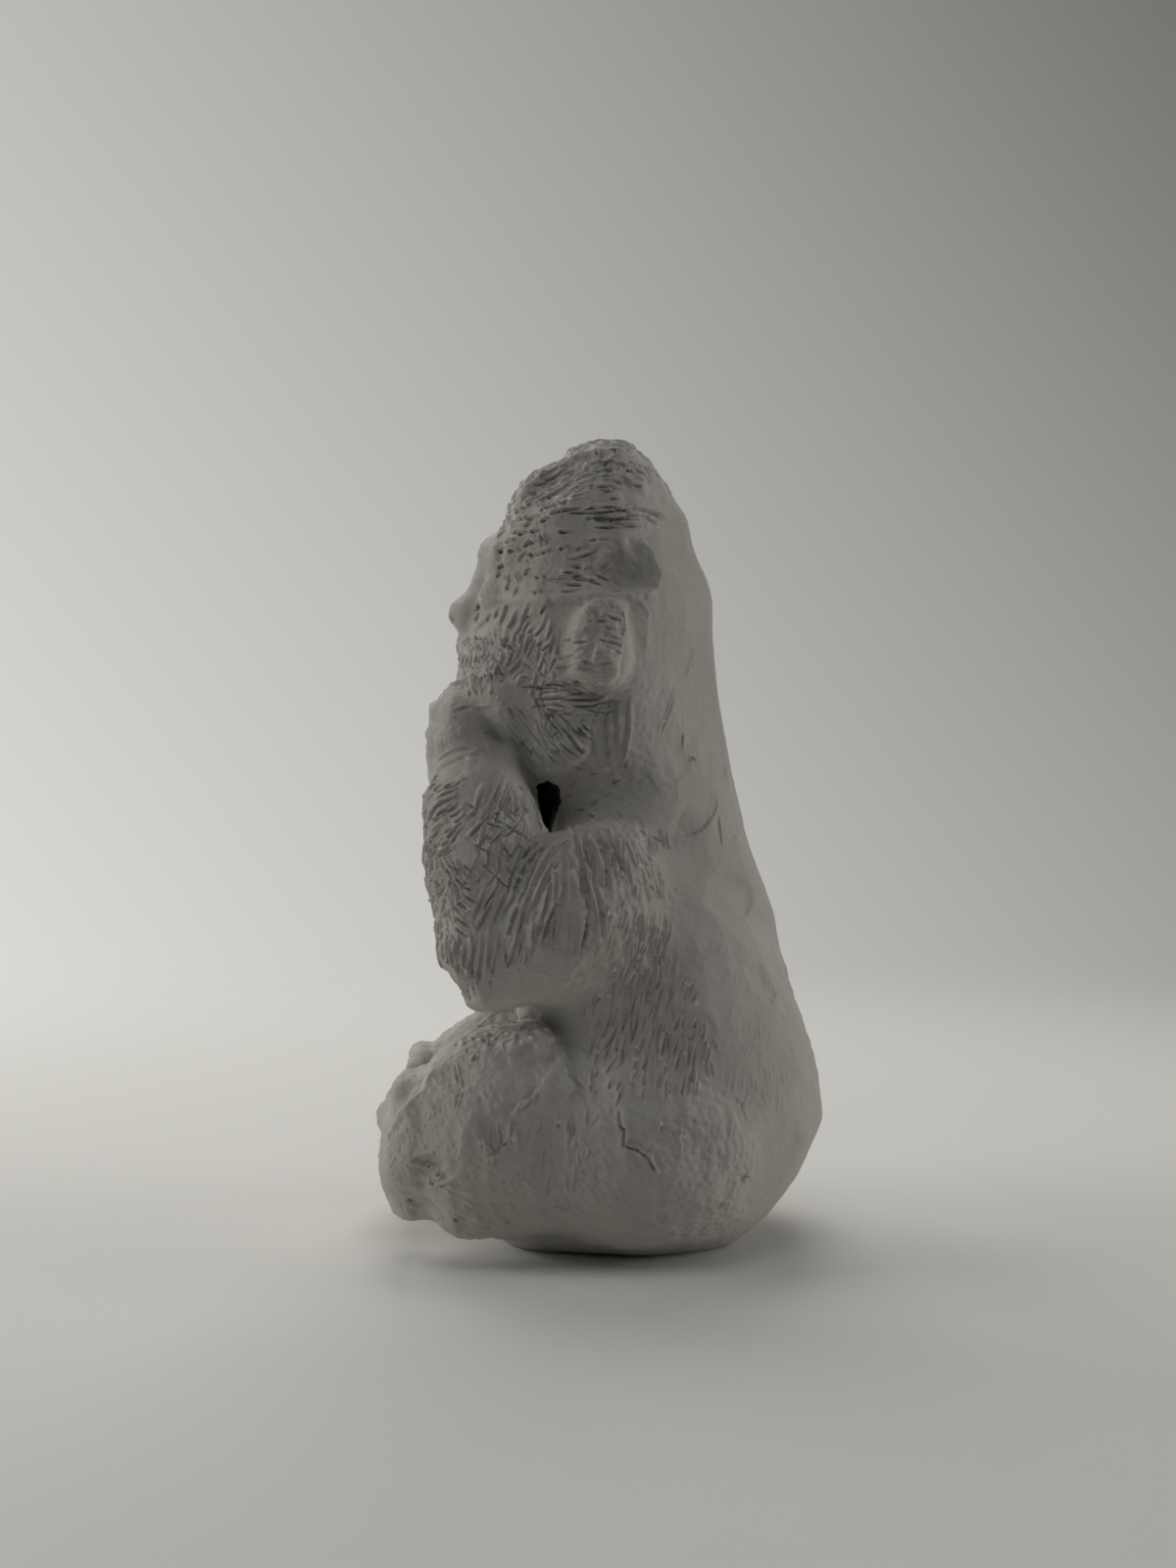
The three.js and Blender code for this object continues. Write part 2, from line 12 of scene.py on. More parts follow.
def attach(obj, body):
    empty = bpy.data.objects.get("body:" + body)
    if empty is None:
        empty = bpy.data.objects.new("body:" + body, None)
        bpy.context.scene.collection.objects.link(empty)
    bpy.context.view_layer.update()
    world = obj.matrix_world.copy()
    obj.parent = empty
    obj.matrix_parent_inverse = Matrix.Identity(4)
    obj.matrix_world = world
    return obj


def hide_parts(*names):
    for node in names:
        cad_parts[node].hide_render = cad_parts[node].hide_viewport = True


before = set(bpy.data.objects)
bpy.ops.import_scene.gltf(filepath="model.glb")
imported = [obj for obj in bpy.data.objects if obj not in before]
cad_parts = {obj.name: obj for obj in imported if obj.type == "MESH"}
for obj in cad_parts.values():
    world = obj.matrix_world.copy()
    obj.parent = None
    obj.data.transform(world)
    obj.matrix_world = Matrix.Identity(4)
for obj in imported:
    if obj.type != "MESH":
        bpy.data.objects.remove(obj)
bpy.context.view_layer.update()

MM = 0.001


# Camera
# It stands at the height of the figure's face, looks down a little at its left side, and takes in the
# whole figure with room round it. Pixels named below are of its 1200 by 1600 frame.
FRAME_WIDTH = 1200
FRAME_HEIGHT = 1600
FOCAL_PIXELS = 2404.0
SENSOR = 36.0
CAMERA_RISE = math.radians(4.0)
CAMERA_AIM = np.array((0.0, -2.83, 100.65))
CAMERA_DISTANCE = 522.6

look_back = np.array((math.cos(CAMERA_RISE), 0.0, math.sin(CAMERA_RISE)))
image_right = np.array((0.0, 1.0, 0.0))
image_up = np.cross(look_back, image_right)
camera_place = CAMERA_AIM + look_back * CAMERA_DISTANCE

camera_data = bpy.data.cameras.new("side_camera")
camera_data.sensor_width = SENSOR
camera_data.lens = FOCAL_PIXELS / FRAME_HEIGHT * SENSOR
camera = bpy.data.objects.new("side_camera", camera_data)
camera.location = Vector(camera_place) * MM
camera.rotation_euler = Vector(-look_back).to_track_quat("-Z", "Y").to_euler()
bpy.context.collection.objects.link(camera)
bpy.context.scene.camera = camera


def pixels_of(points):
    """Where the camera sees points that are given in millimetres."""
    away = points - camera_place
    depth = -away @ look_back
    across = FRAME_WIDTH / 2 + FOCAL_PIXELS * (away @ image_right) / depth
    down = FRAME_HEIGHT / 2 - FOCAL_PIXELS * (away @ image_up) / depth
    return np.stack((across, down), axis=1)


# Lumps pressed together
# The figure is solid air-dried clay: lumps rolled and squeezed by hand and pressed onto each other wet.
# A thumb has rubbed most seams over, and the rest stay as creases.
SIDES = {"left": 1, "right": -1}
VOXEL = 1.0
SWELL = 0.35
MERGE = 0.001
SETTLING = 2
# Two lumps, how far from their seam the thumb reached, and how often it went over it.
RUBBED_SEAMS = [
    ("trunk", "side_upper_arm", 9.0, 40), ("side_upper_arm", "side_forearm", 7.0, 24),
    ("trunk", "side_thigh", 12.0, 70), ("trunk", "side_shin", 4.0, 8),
    ("side_thigh", "side_shin", 10.0, 60), ("side_shin", "side_foot", 7.0, 40),
    ("head", "mane", 6.0, 30), ("trunk", "mane", 9.0, 50), ("head", "trunk", 7.0, 30),
    ("head", "muzzle", 6.0, 40), ("head", "brow_ridge", 3.0, 6), ("muzzle", "nose", 2.5, 4),
    ("brow_ridge", "nose", 2.5, 4), ("mane", "crown_cap", 4.0, 14), ("head", "crown_cap", 2.0, 3),
    ("head", "side_ear", 2.5, 3), ("side_forearm", "side_hand", 8.0, 50),
    ("side_hand", "side_thumb", 2.0, 4), ("muzzle", "side_hand", 2.0, 5),
    ("muzzle", "side_thumb", 1.5, 3), ("head", "side_forearm", 2.5, 6),
]

lump_names = sorted(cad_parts)
lump_number = {name: number for number, name in enumerate(lump_names)}
lumps = bmesh.new()
lump_tree = {}
owner = []
for name in lump_names:
    lump = bmesh.new()
    lump.from_mesh(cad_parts[name].data)
    bmesh.ops.scale(lump, verts=lump.verts, vec=(1 / MM,) * 3)
    bmesh.ops.remove_doubles(lump, verts=lump.verts, dist=MERGE)
    lump.normal_update()
    swollen = [vert.co + vert.normal * SWELL for vert in lump.verts]
    for vert, place in zip(lump.verts, swollen):
        vert.co = place
    lump_tree[name] = BVHTree.FromBMesh(lump)
    owner += [lump_number[name]] * len(lump.faces)
    lump_mesh = bpy.data.meshes.new("lump")
    lump.to_mesh(lump_mesh)
    lumps.from_mesh(lump_mesh)
    bpy.data.meshes.remove(lump_mesh)
    lump.free()
owner_tree = BVHTree.FromBMesh(lumps)
pressed = bpy.data.meshes.new("pressed_lumps")
lumps.to_mesh(pressed)
lumps.free()


def worked_mesh(carrier):
    """The carrier's mesh as its modifiers leave it."""
    done = bpy.data.meshes.new_from_object(carrier.evaluated_get(bpy.context.evaluated_depsgraph_get()))
    bpy.data.objects.remove(carrier)
    return done


heap = bpy.data.objects.new("heap_of_lumps", pressed)
bpy.context.collection.objects.link(heap)
fusing = heap.modifiers.new("fuse", "REMESH")
fusing.mode = "VOXEL"
fusing.voxel_size = VOXEL
skin_mesh = worked_mesh(heap)
bpy.data.meshes.remove(pressed)


def patches_of(mesh, alike):
    """Groups of faces that touch each other and are alike, the smallest first."""
    groups = []
    seen = set()
    for face in mesh.faces:
        if face not in seen:
            seen.add(face)
            group = [face]
            mark = alike(face)
            for member in group:
                for edge in member.edges:
                    for beside in edge.link_faces:
                        if beside not in seen and alike(beside) == mark:
                            seen.add(beside)
                            group.append(beside)
            groups.append(group)
    return sorted(groups, key=len)


# Hollows shut in between the lumps are filled. Each face of the skin belongs to the lump under it, and
# a stray patch to the lump round it.
skin = bmesh.new()
skin.from_mesh(skin_mesh)
for hollow in patches_of(skin, lambda face: 0)[:-1]:
    bmesh.ops.delete(skin, geom=hollow, context="FACES")
belongs = skin.faces.layers.int.new("lump")
for face in skin.faces:
    face[belongs] = owner[owner_tree.find_nearest(face.calc_center_median())[2]]
largest = {}
for patch in patches_of(skin, lambda face: face[belongs]):
    largest[patch[0][belongs]] = patch
for patch in patches_of(skin, lambda face: face[belongs]):
    number = patch[0][belongs]
    if len(patch) < len(largest[number]):
        edges = [edge for member in patch for edge in member.edges]
        beside = [face[belongs] for edge in edges for face in edge.link_faces]
        round_it = [other for other in beside if other != number]
        for member in patch:
            member[belongs] = max(sorted(set(round_it)), key=round_it.count)
verts_of_lump = [set() for _ in lump_names]
for face in skin.faces:
    verts_of_lump[face[belongs]].update(face.verts)

skin.to_mesh(skin_mesh)
rubbed = bpy.data.objects.new("rubbed_skin", skin_mesh)
bpy.context.collection.objects.link(rubbed)
settling = rubbed.modifiers.new("settle", "SMOOTH")
settling.factor, settling.iterations = 1.0, SETTLING
for first, second, reach, passes in RUBBED_SEAMS:
    for side in SIDES if "side" in first + second else [""]:
        one, other = (name.replace("side", side) for name in (first, second))
        seam = rubbed.vertex_groups.new(name=one + "_" + other)
        for mine, theirs in ((one, other), (other, one)):
            tree = lump_tree[theirs]
            touching = [vert.index for vert in verts_of_lump[lump_number[mine]]
                        if tree.find_nearest(vert.co, reach)[0] is not None]
            seam.add(touching, 1.0, "REPLACE")
        thumb = rubbed.modifiers.new(seam.name, "SMOOTH")
        thumb.vertex_group = seam.name
        thumb.factor, thumb.iterations = 1.0, passes
skin.free()
rounding = rubbed.modifiers.new("round", "SUBSURF")
rounding.levels = rounding.render_levels = 1
skin_mesh = worked_mesh(rubbed)


class Clay:
    """The figure's skin while it is worked, in millimetres.

    It holds the points, how they face, how deep they are cut and how far burrs stand up."""

    # Where the camera's pixels fall on the skin, and how spots are spread over it.
    PIXELS_PER_MM = 4.75
    SPOT_REACH = 3.0
    SPOT_SLACK = 1.0
    EDGE_ON = 0.1
    POINT_SPACING = VOXEL / 4
    CANDIDATES = 7

    # Uneven edges of patches and forms.
    RAGGED = 9.0
    RAGGED_SIZE = 5.0
    RAGGED_SHIFT = 0.5
    RAGGED_SEED = 9
    WOBBLE = 0.5
    WOBBLE_SIZE = 7.0
    WOBBLE_SEED = 5
    LEAST_SLOPE = 0.4
    WAVE_COUNT = 24
    WAVE_TURN = 4.0

    # A flat that is sliced or paddled, and a patch that is rubbed.
    FLAT_CORE = 0.2
    FLAT_RIM = 3
    FLAT_FACING = 0.5
    FLAT_MOST = 2
    RUB_FADE = 16

    # One stroke of a tool: its steeper wall, its ends and the burrs along its edges.
    STEEP = 0.4
    CLEAR = 2.5
    SAME_WAY = 0.2
    EVEN_ENDS = (0.55, 0.55)
    RUN_OUT = (0.3, 1.2)
    OVERLAP = 1.5
    LIP_OUT = 0.2
    LIP_SPREAD = 0.3
    LIP_SHARE = 0.55
    LIP_LEAN = 0.55
    LIP_GROWTH = 1.3
    LIP_LEAST = 0.2

    # A tuft of a few strokes side by side.
    TUFT_SPACING = 1.8
    TUFT_STROKES = (2, 5)
    TUFT_FORCE = (0.6, 1.15)
    TUFT_BEND = 0.04
    TUFT_PITCH = (0.8, 1.2)
    TUFT_SHIFT = 0.22
    TUFT_TURN = 0.09
    TUFT_LENGTH = (0.6, 1.15)
    LEAST_RUN = 0.5

    def __init__(self, mesh):
        self.mesh = mesh
        self.read()

    def read(self):
        """Takes the points and faces from the mesh."""
        mesh = self.mesh
        self.points = np.empty(len(mesh.vertices) * 3, np.float32)
        mesh.vertices.foreach_get("co", self.points)
        self.points = self.points.astype(float).reshape(-1, 3)
        self.loops = np.empty(len(mesh.loops), np.int32)
        mesh.loops.foreach_get("vertex_index", self.loops)
        self.sizes = np.empty(len(mesh.polygons), np.int32)
        mesh.polygons.foreach_get("loop_total", self.sizes)
        self.lump_of_face = np.empty(len(mesh.polygons), np.int32)
        mesh.attributes["lump"].data.foreach_get("value", self.lump_of_face)
        self.lump = np.zeros(len(self.points), np.int32)
        self.lump[self.loops] = np.repeat(self.lump_of_face, self.sizes)
        self.cut = np.zeros(len(self.points))
        self.raised = np.zeros(len(self.points))
        self.settle()
        self.tree = KDTree(len(self.points))
        for number, place in enumerate(self.points):
            self.tree.insert(place, number)
        self.tree.balance()

    def settle(self):
        """Works out afresh which way the skin faces and where the camera sees it."""
        self.mesh.vertices.foreach_set("co", self.points.astype(np.float32).ravel())
        self.mesh.update()
        facing = np.empty(len(self.points) * 3, np.float32)
        self.mesh.vertex_normals.foreach_get("vector", facing)
        self.normals = facing.astype(float).reshape(-1, 3)
        self.seen = {side: pixels_of(self.points * (side, 1, 1)) for side in SIDES.values()}

    def refine(self, where):
        """Splits the faces of a patch in four."""
        starts = np.concatenate(([0], np.cumsum(self.sizes)[:-1]))
        chosen = np.flatnonzero(np.logical_and.reduceat(where[self.loops], starts))
        work = bmesh.new()
        work.from_mesh(self.mesh)
        work.faces.ensure_lookup_table()
        edges = {edge for number in chosen for edge in work.faces[number].edges}
        made = bmesh.ops.subdivide_edges(work, edges=list(edges), cuts=1, use_grid_fill=True)
        fresh = [item for item in made["geom_inner"] if isinstance(item, bmesh.types.BMVert)]
        axes = {"use_axis_" + axis: True for axis in "xyz"}
        bmesh.ops.smooth_vert(work, verts=fresh, factor=0.5, **axes)
        work.to_mesh(self.mesh)
        work.free()
        self.read()

    def spot(self, pixel, side=1):
        """The point of the skin that the camera sees at a pixel, or its twin on the figure's other side."""
        away = np.abs(self.seen[side] - pixel).max(axis=1)
        near = np.flatnonzero(away < max(self.SPOT_REACH, away.min() + self.SPOT_SLACK))
        return near[np.argmax(self.points[near, 0] * side)]

    def at(self, *place):
        """The point of the skin nearest to a place."""
        return self.tree.find(place)[1]

    def near(self, spot, reach):
        """The points within a reach of a spot."""
        return np.array([found[1] for found in self.tree.find_range(self.points[spot], reach)], int)

    def of(self, *names):
        """Which points belong to these lumps."""
        return np.isin(self.lump, [lump_number[name] for name in names])

    def inside(self, outline, side):
        """Which points lie inside an outline in pixels, seen from the camera or from its mirror image."""
        pixels = self.seen[side]
        within = np.zeros(len(pixels), bool)
        for (x0, y0, *_), (x1, y1, *_) in zip(outline, outline[1:] + outline[:1]):
            crosses = (y0 > pixels[:, 1]) != (y1 > pixels[:, 1])
            within ^= crosses & (pixels[:, 0] < x0 + (pixels[:, 1] - y0) * (x1 - x0) / ((y1 - y0) or MERGE))
        return within & (self.normals[:, 0] * side > self.EDGE_ON) & (self.points[:, 0] * side > 0)

    def edge_distance(self, outline, pixels):
        """How far pixels lie from each edge of an outline, edge by edge."""
        for (x0, y0, *_), (x1, y1, *_) in zip(outline, outline[1:] + outline[:1]):
            run, rise = x1 - x0, y1 - y0
            along = ((pixels[:, 0] - x0) * run + (pixels[:, 1] - y0) * rise) / (run ** 2 + rise ** 2)
            along = np.clip(along, 0, 1)
            yield np.hypot(pixels[:, 0] - x0 - along * run, pixels[:, 1] - y0 - along * rise)

    def patch(self, outline, side, names):
        """Which points of these lumps lie inside an outline, whose edge is ragged."""
        sided = next(key for key in SIDES if SIDES[key] == side)
        held = self.inside(outline, side) & self.of(*(name.replace("side", sided) for name in names))
        away = np.min(list(self.edge_distance(outline, self.seen[side][held])), axis=0)
        uneven = self.wavy(self.RAGGED_SIZE, self.RAGGED_SEED)[held]
        held[held] = away > self.RAGGED * (self.RAGGED_SHIFT + uneven)
        return held

    def turned(self, names, facing, least, low, high):
        """Which points of these lumps face a direction, between two heights."""
        height = self.points[:, 2]
        toward = self.normals @ np.array(facing) > least
        return self.of(*names) & toward & (height > low) & (height < high)

    def wavy(self, size, seed):
        """A random unevenness of about this size, mostly between -1 and 1."""
        draw = np.random.default_rng(seed)
        waves = draw.normal(0, self.WAVE_TURN / size, (3, self.WAVE_COUNT)).astype(np.float32)
        phases = draw.uniform(0, math.tau, self.WAVE_COUNT).astype(np.float32)
        heights = np.cos(self.points.astype(np.float32) @ waves + phases)
        return heights.sum(axis=1) / self.WAVE_COUNT ** 0.5

    def relief(self, outline, depth, side, straight=False):
        """Cuts the clay away inside an outline in pixels, or adds some where depth is negative.

        It goes straight in, or the way that the skin faces. Each corner ends with the width in millimetres
        over which the edge that starts there slopes."""
        held = np.flatnonzero(self.inside(outline, side))
        pixels = self.seen[side][held]
        share = np.ones(len(held))
        wobble = self.wavy(self.WOBBLE_SIZE, self.WOBBLE_SEED + side)[held] * self.WOBBLE
        for (_, _, slope), away in zip(outline, self.edge_distance(outline, pixels)):
            run = np.maximum(slope + wobble, self.LEAST_SLOPE)
            share = np.minimum(share, np.clip(away / self.PIXELS_PER_MM / run, 0, 1))
        way = np.array((side, 0.0, 0.0)) if straight else self.normals[held]
        self.points[held] -= way * (depth * share ** 2 * (3 - 2 * share))[:, None]

    def press(self, spot, radii, depth, only=()):
        """Pushes the skin in round a spot with a thumb, or pulls it out where depth is negative."""
        held = self.near(spot, max(radii))
        reach = 1 - (((self.points[held] - self.points[spot]) / radii) ** 2).sum(axis=1)
        share = np.clip(reach, 0, 1) ** 2 * (self.normals[held] @ self.normals[spot] > 0)
        if only:
            share *= self.of(*only)[held]
        self.points[held] -= self.normals[held] * (depth * share)[:, None]

    def shave(self, spot, depth, reach, lean=(0, 0, 0)):
        """Slices a flat off the skin round a spot, leaning from the way that the skin faces there."""
        held = self.near(spot, reach)
        away = self.points[held] - self.points[spot]
        share = (away ** 2).sum(axis=1) / reach ** 2
        facing = self.normals[held[share < self.FLAT_CORE]].mean(axis=0) + lean
        facing /= np.linalg.norm(facing)
        rim = np.clip(self.FLAT_RIM * (1 - share), 0, 1)
        turned_to_it = self.normals[held] @ facing > self.FLAT_FACING
        taken = np.maximum(away @ facing + depth, 0) * rim * turned_to_it
        self.points[held] -= facing * np.minimum(taken, self.FLAT_MOST * depth)[:, None]

    def rub(self, where, passes):
        """Smooths a patch with a wet finger, less and less towards its edge."""
        edges = np.empty(len(self.mesh.edges) * 2, np.int32)
        self.mesh.edges.foreach_get("vertices", edges)
        one, other = edges.reshape(-1, 2)[where[edges].reshape(-1, 2).any(axis=1)].T
        here, there = np.concatenate((one, other)), np.concatenate((other, one))
        count = np.maximum(np.bincount(here, minlength=len(where)), 1)
        share = where.astype(float)
        for _ in range(self.RUB_FADE):
            share = np.where(where, np.bincount(here, share[there], len(where)) / count, 0)
        for _ in range(passes):
            for axis in range(3):
                mean = np.bincount(here, self.points[there, axis], len(where)) / count
                self.points[:, axis] += share * (mean - self.points[:, axis]) / 2

    def stroke(self, spot, heading, length, width, depth, bend=0.0, ends=RUN_OUT):
        """Scores one groove with a tool's point, with its burrs, or lays a roll where depth is negative."""
        touched = self.near(spot, length / 2 + width + self.LIP_SPREAD)
        away = self.points[touched] - self.points[spot]
        up = self.normals[spot]
        along = heading - up * (heading @ up)
        along /= max(np.linalg.norm(along), MERGE)
        share = away @ along / (length / 2)
        across = away @ np.cross(up, along) - bend * length * share ** 2
        flat = (np.abs(away @ up) < self.CLEAR) & (self.normals[touched] @ up > self.SAME_WAY)
        taper = np.clip((1 + share) / ends[0], 0, 1) * np.clip((1 - share) / ends[1], 0, 1) * flat
        span = across / (width / 2)
        if depth > 0:
            slopes = np.minimum((1 - span) / (1 - self.STEEP), (1 + span) / (1 + self.STEEP))
            groove = depth * taper * np.clip(slopes, 0, 1)
            out = np.abs(across) - width / 2 - self.LIP_OUT
            beyond = np.maximum(np.abs(share) - 1, 0) * length / 2
            lip = np.exp(-((out / self.LIP_SPREAD) ** 2)) * np.exp(-((beyond / self.LIP_SPREAD) ** 2)) * flat
            grown = np.clip(self.LIP_GROWTH + share, self.LIP_LEAST, 1)
            lip *= depth * self.LIP_SHARE * (1 + self.LIP_LEAN * np.sign(across)) * grown
            self.cut[touched] = np.maximum(self.cut[touched], groove)
            self.raised[touched] = np.maximum(self.raised[touched], lip)
        else:
            roll = -depth * taper * np.clip(1 - span ** 2, 0, 1)
            self.points[touched] += self.normals[touched] * roll[:, None]

    def line(self, spots, width, depth):
        """Draws a groove, or lays a raised roll where depth is negative, from spot to spot."""
        for first, last in zip(spots, spots[1:]):
            step = self.points[last] - self.points[first]
            middle = self.tree.find((self.points[first] + self.points[last]) / 2)[1]
            length = np.linalg.norm(step) * self.OVERLAP
            self.stroke(middle, step, length, width, depth, 0.0, self.EVEN_ENDS)

    def scatter(self, where, spacing, draw):
        """Spots about a spacing apart, all over a patch."""
        found = np.flatnonzero(where).tolist()
        draw.shuffle(found)
        kept = []
        grid = {}
        tries = int(self.CANDIDATES * len(found) * (self.POINT_SPACING / spacing) ** 2) + 1
        for spot in found[:tries]:
            place = self.points[spot]
            cell = tuple((place // spacing).astype(int))
            around = (grid.get((cell[0] + i, cell[1] + j, cell[2] + k))
                      for i in (-1, 0, 1) for j in (-1, 0, 1) for k in (-1, 0, 1))
            if all(other is None or np.linalg.norm(place - other) > spacing for other in around):
                grid[cell] = place
                kept.append(spot)
        return kept

    def prick(self, where, heading, spread, spacing, length, width, depth, draw):
        """Pricks a patch all over with a point held about one way."""
        for spot in self.scatter(where, spacing, draw):
            turn = math.radians(draw.gauss(0, spread))
            run = heading * math.cos(turn) + np.cross(self.normals[spot], heading) * math.sin(turn)
            self.stroke(spot, run, draw.uniform(*length), draw.uniform(*width), draw.uniform(*depth))

    def hatch(self, where, heading, spread, pitch, length, width, depth, draw):
        """Covers a patch with tufts: a few strokes side by side, each tuft turned a little its own way."""
        for centre in self.scatter(where, pitch * self.TUFT_SPACING, draw):
            turn = math.radians(draw.gauss(0, spread))
            up = self.normals[centre]
            run = heading * math.cos(turn) + np.cross(up, heading) * math.sin(turn)
            run /= max(np.linalg.norm(run - up * (run @ up)), self.LEAST_RUN)
            strokes = draw.randint(*self.TUFT_STROKES)
            force = draw.uniform(*self.TUFT_FORCE)
            size = draw.uniform(*length)
            bend = draw.gauss(0, self.TUFT_BEND)
            for number in range(strokes):
                aside = (number - (strokes - 1) / 2) * pitch * draw.uniform(*self.TUFT_PITCH)
                along = draw.gauss(0, self.TUFT_SHIFT) * size
                spot = self.at(*(self.points[centre] + np.cross(up, run) * aside + run * along))
                if where[spot]:
                    way = run + np.cross(up, run) * draw.gauss(0, self.TUFT_TURN)
                    reach = size * draw.uniform(*self.TUFT_LENGTH)
                    self.stroke(spot, way, reach, draw.uniform(*width), force * draw.uniform(*depth), bend)


clay = Clay(skin_mesh)


def leaning(angle):
    """A heading across the camera's view, in degrees up from the line that points at the figure's back."""
    return np.array((0.0, math.cos(math.radians(angle)), math.sin(math.radians(angle))))


# Head
# A ball of clay with muzzle, brow, nose, eyes and ears pressed on. A thumb has scooped out the temples,
# and a needle and a blunt stick have pricked and scored the fur.

# Depth and outline of each form. A corner ends with the width of the slope that starts there.
HEAD_FORMS = [
    (1.1,
     [(580, 572, 6.0), (600, 558, 5.0), (622, 550, 4.0), (645, 544, 4.0), (663, 547, 4.4),
      (674, 560, 4.4), (680, 580, 4.0), (677, 600, 2.4), (664, 606, 1.8), (640, 607, 1.8),
      (612, 607, 2.4), (588, 604, 4.0), (572, 588, 6.0)]),
    (0.9,
     [(643, 614, 0.8), (660, 609, 2.4), (670, 626, 4.0), (667, 660, 4.0), (654, 676, 4.0),
      (638, 668, 0.8)]),
    (0.3, [(557, 620, 3.0), (590, 616, 1.4), (583, 650, 1.4), (575, 680, 3.0), (559, 672, 3.0)]),
    (0.9, [(503, 548, 1.4), (518, 552, 3.0), (520, 586, 2.4), (506, 592, 1.4)]),
    (-1.2,
     [(490, 690, 4.0), (540, 680, 6.0), (620, 714, 3.0), (607, 763, 2.0), (586, 787, 1.4),
      (550, 795, 1.4), (512, 770, 2.4), (494, 730, 4.0)]),
]
CAP_FORM = (-0.7,
            [(577, 456, 0.8), (600, 448, 0.8), (645, 450, 0.8), (676, 478, 3.0), (688, 512, 4.0),
             (662, 504, 1.2), (640, 490, 0.8), (606, 478, 0.8), (580, 469, 0.8)])
NECK_HOLE = [
    (547, 801, 0.8), (558, 796, 0.8), (571, 803, 0.8), (573, 818, 0.8), (567, 834, 0.8),
    (562, 851, 0.8), (555, 842, 0.8), (550, 824, 0.8),
]
NECK_HOLE_DEPTH = 6.0
EAR_FORM = (-1.3,
            [(592, 622, 1.2), (606, 611, 1.2), (636, 613, 1.0), (641, 639, 0.8), (636, 668, 0.8),
             (633, 689, 1.4), (621, 700, 2.4), (574, 692, 3.0), (583, 660, 1.4), (586, 643, 1.2)])
EAR_FLAT = (618, 648)
EAR_FLAT_DEPTH = 0.7
EAR_FLAT_REACH = 11.0
EAR_LEAN = (0.0, 0.28, 0.08)
# Pixel, radius and depth of each dent, with a depth below zero for a bump.
EAR_DENTS = [
    ((613, 627), 2.2, 0.5),
    ((629, 641), 2.6, -0.5),
    ((601, 684), 2.4, 0.5),
    ((622, 668), 2.8, -0.5),
    ((591, 652), 1.9, 0.5),
    ((598, 618), 2.0, -0.4),
    ((630, 690), 2.4, -0.4),
    ((585, 676), 2.2, -0.4),
]
CROWN_FLATS = [(592, 489), (568, 498), (552, 508)]
CROWN_LEAN = (0.0, -0.12, 0.42)
CROWN_FLAT_DEPTH = 0.9
CROWN_FLAT_REACH = 9.0
EAR_FURROW = [(606, 622), (604, 638), (601, 654), (598, 672)]
HEAD_ROLLS = [
    ([(505, 612), (545, 610), (590, 608), (640, 606), (678, 604)], 2.8, 0.6),
    ([(577, 467), (604, 474), (640, 485), (664, 499)], 3.0, 0.8),
    ([(598, 478), (616, 496), (634, 520)], 6.0, 0.5),
]
CAP_STEP = (0.0, -11.5, 172.0)
CAP_STEP_SIZE = (26.0, 8.0, 9.0)
CAP_STEP_DEPTH = 0.8
FACE_LINE = [
    ((0.0, -30.7, 144.1), (9.0, 5.0, 5.0), 1.4),
    ((0.0, -31.5, 132.4), (9.0, 4.0, 4.0), -1.3),
    ((0.0, -33.0, 124.6), (14.0, 5.0, 5.0), 0.9),
]
EYE_PLACE = (10.0, -31.0, 143.0)
PUPIL = (1.7, 1.3)
NOSTRIL_PLACE = (3.6, -37.0, 136.4)
NOSTRIL = (1.6, 1.2)
MOUTH = [(-15, -28, 122), (-8, -34, 121), (0, -36, 121), (8, -34, 121), (15, -28, 122)]
MOUTH_WIDTH = 1.2
MOUTH_DEPTH = 0.5
EAR_SLITS = [
    [(598, 632), (609, 631), (619, 632)], [(583, 664), (594, 665), (604, 663)],
    [(574, 652), (587, 648)], [(570, 670), (584, 667)], [(566, 685), (583, 682)],
    [(606, 680), (628, 675)], [(622, 652), (633, 655)],
]
JAW_GROOVES = [
    [(612, 722), (606, 742), (609, 768)], [(621, 722), (617, 744), (621, 776)],
    [(629, 718), (629, 748), (627, 758)], [(641, 716), (640, 742), (636, 770)],
]
# Lumps, outline, angle, spread of the angle and spacing, then the marks' ranges of length, width and depth.
HEAD_PRICKS = [
    (("head", "brow_ridge"),
     [(517, 515), (541, 491), (571, 503), (598, 539), (592, 566), (565, 584), (559, 608), (520, 608),
      (502, 581), (505, 554)], -10, 26, 2.8, (1.3, 2.6), (0.85, 1.25), (0.6, 1.05)),
    (("head", "muzzle", "brow_ridge"),
     [(484, 592), (505, 582), (522, 600), (520, 642), (490, 648), (476, 622)], 20, 40, 2.3, (1.2, 2.2),
     (0.8, 1.2), (0.46, 0.86)),
    (("crown_cap",), [(580, 462), (640, 458), (672, 484), (664, 506), (610, 486)], -12, 30, 2.4,
     (1.0, 2.6), (0.6, 1.1), (0.40, 0.92)),
    (("head", "trunk"), [(572, 790), (604, 770), (645, 772), (650, 838), (576, 842)], 50, 50, 3.0,
     (1.0, 3.0), (0.5, 1.0), (0.34, 0.80)),
]
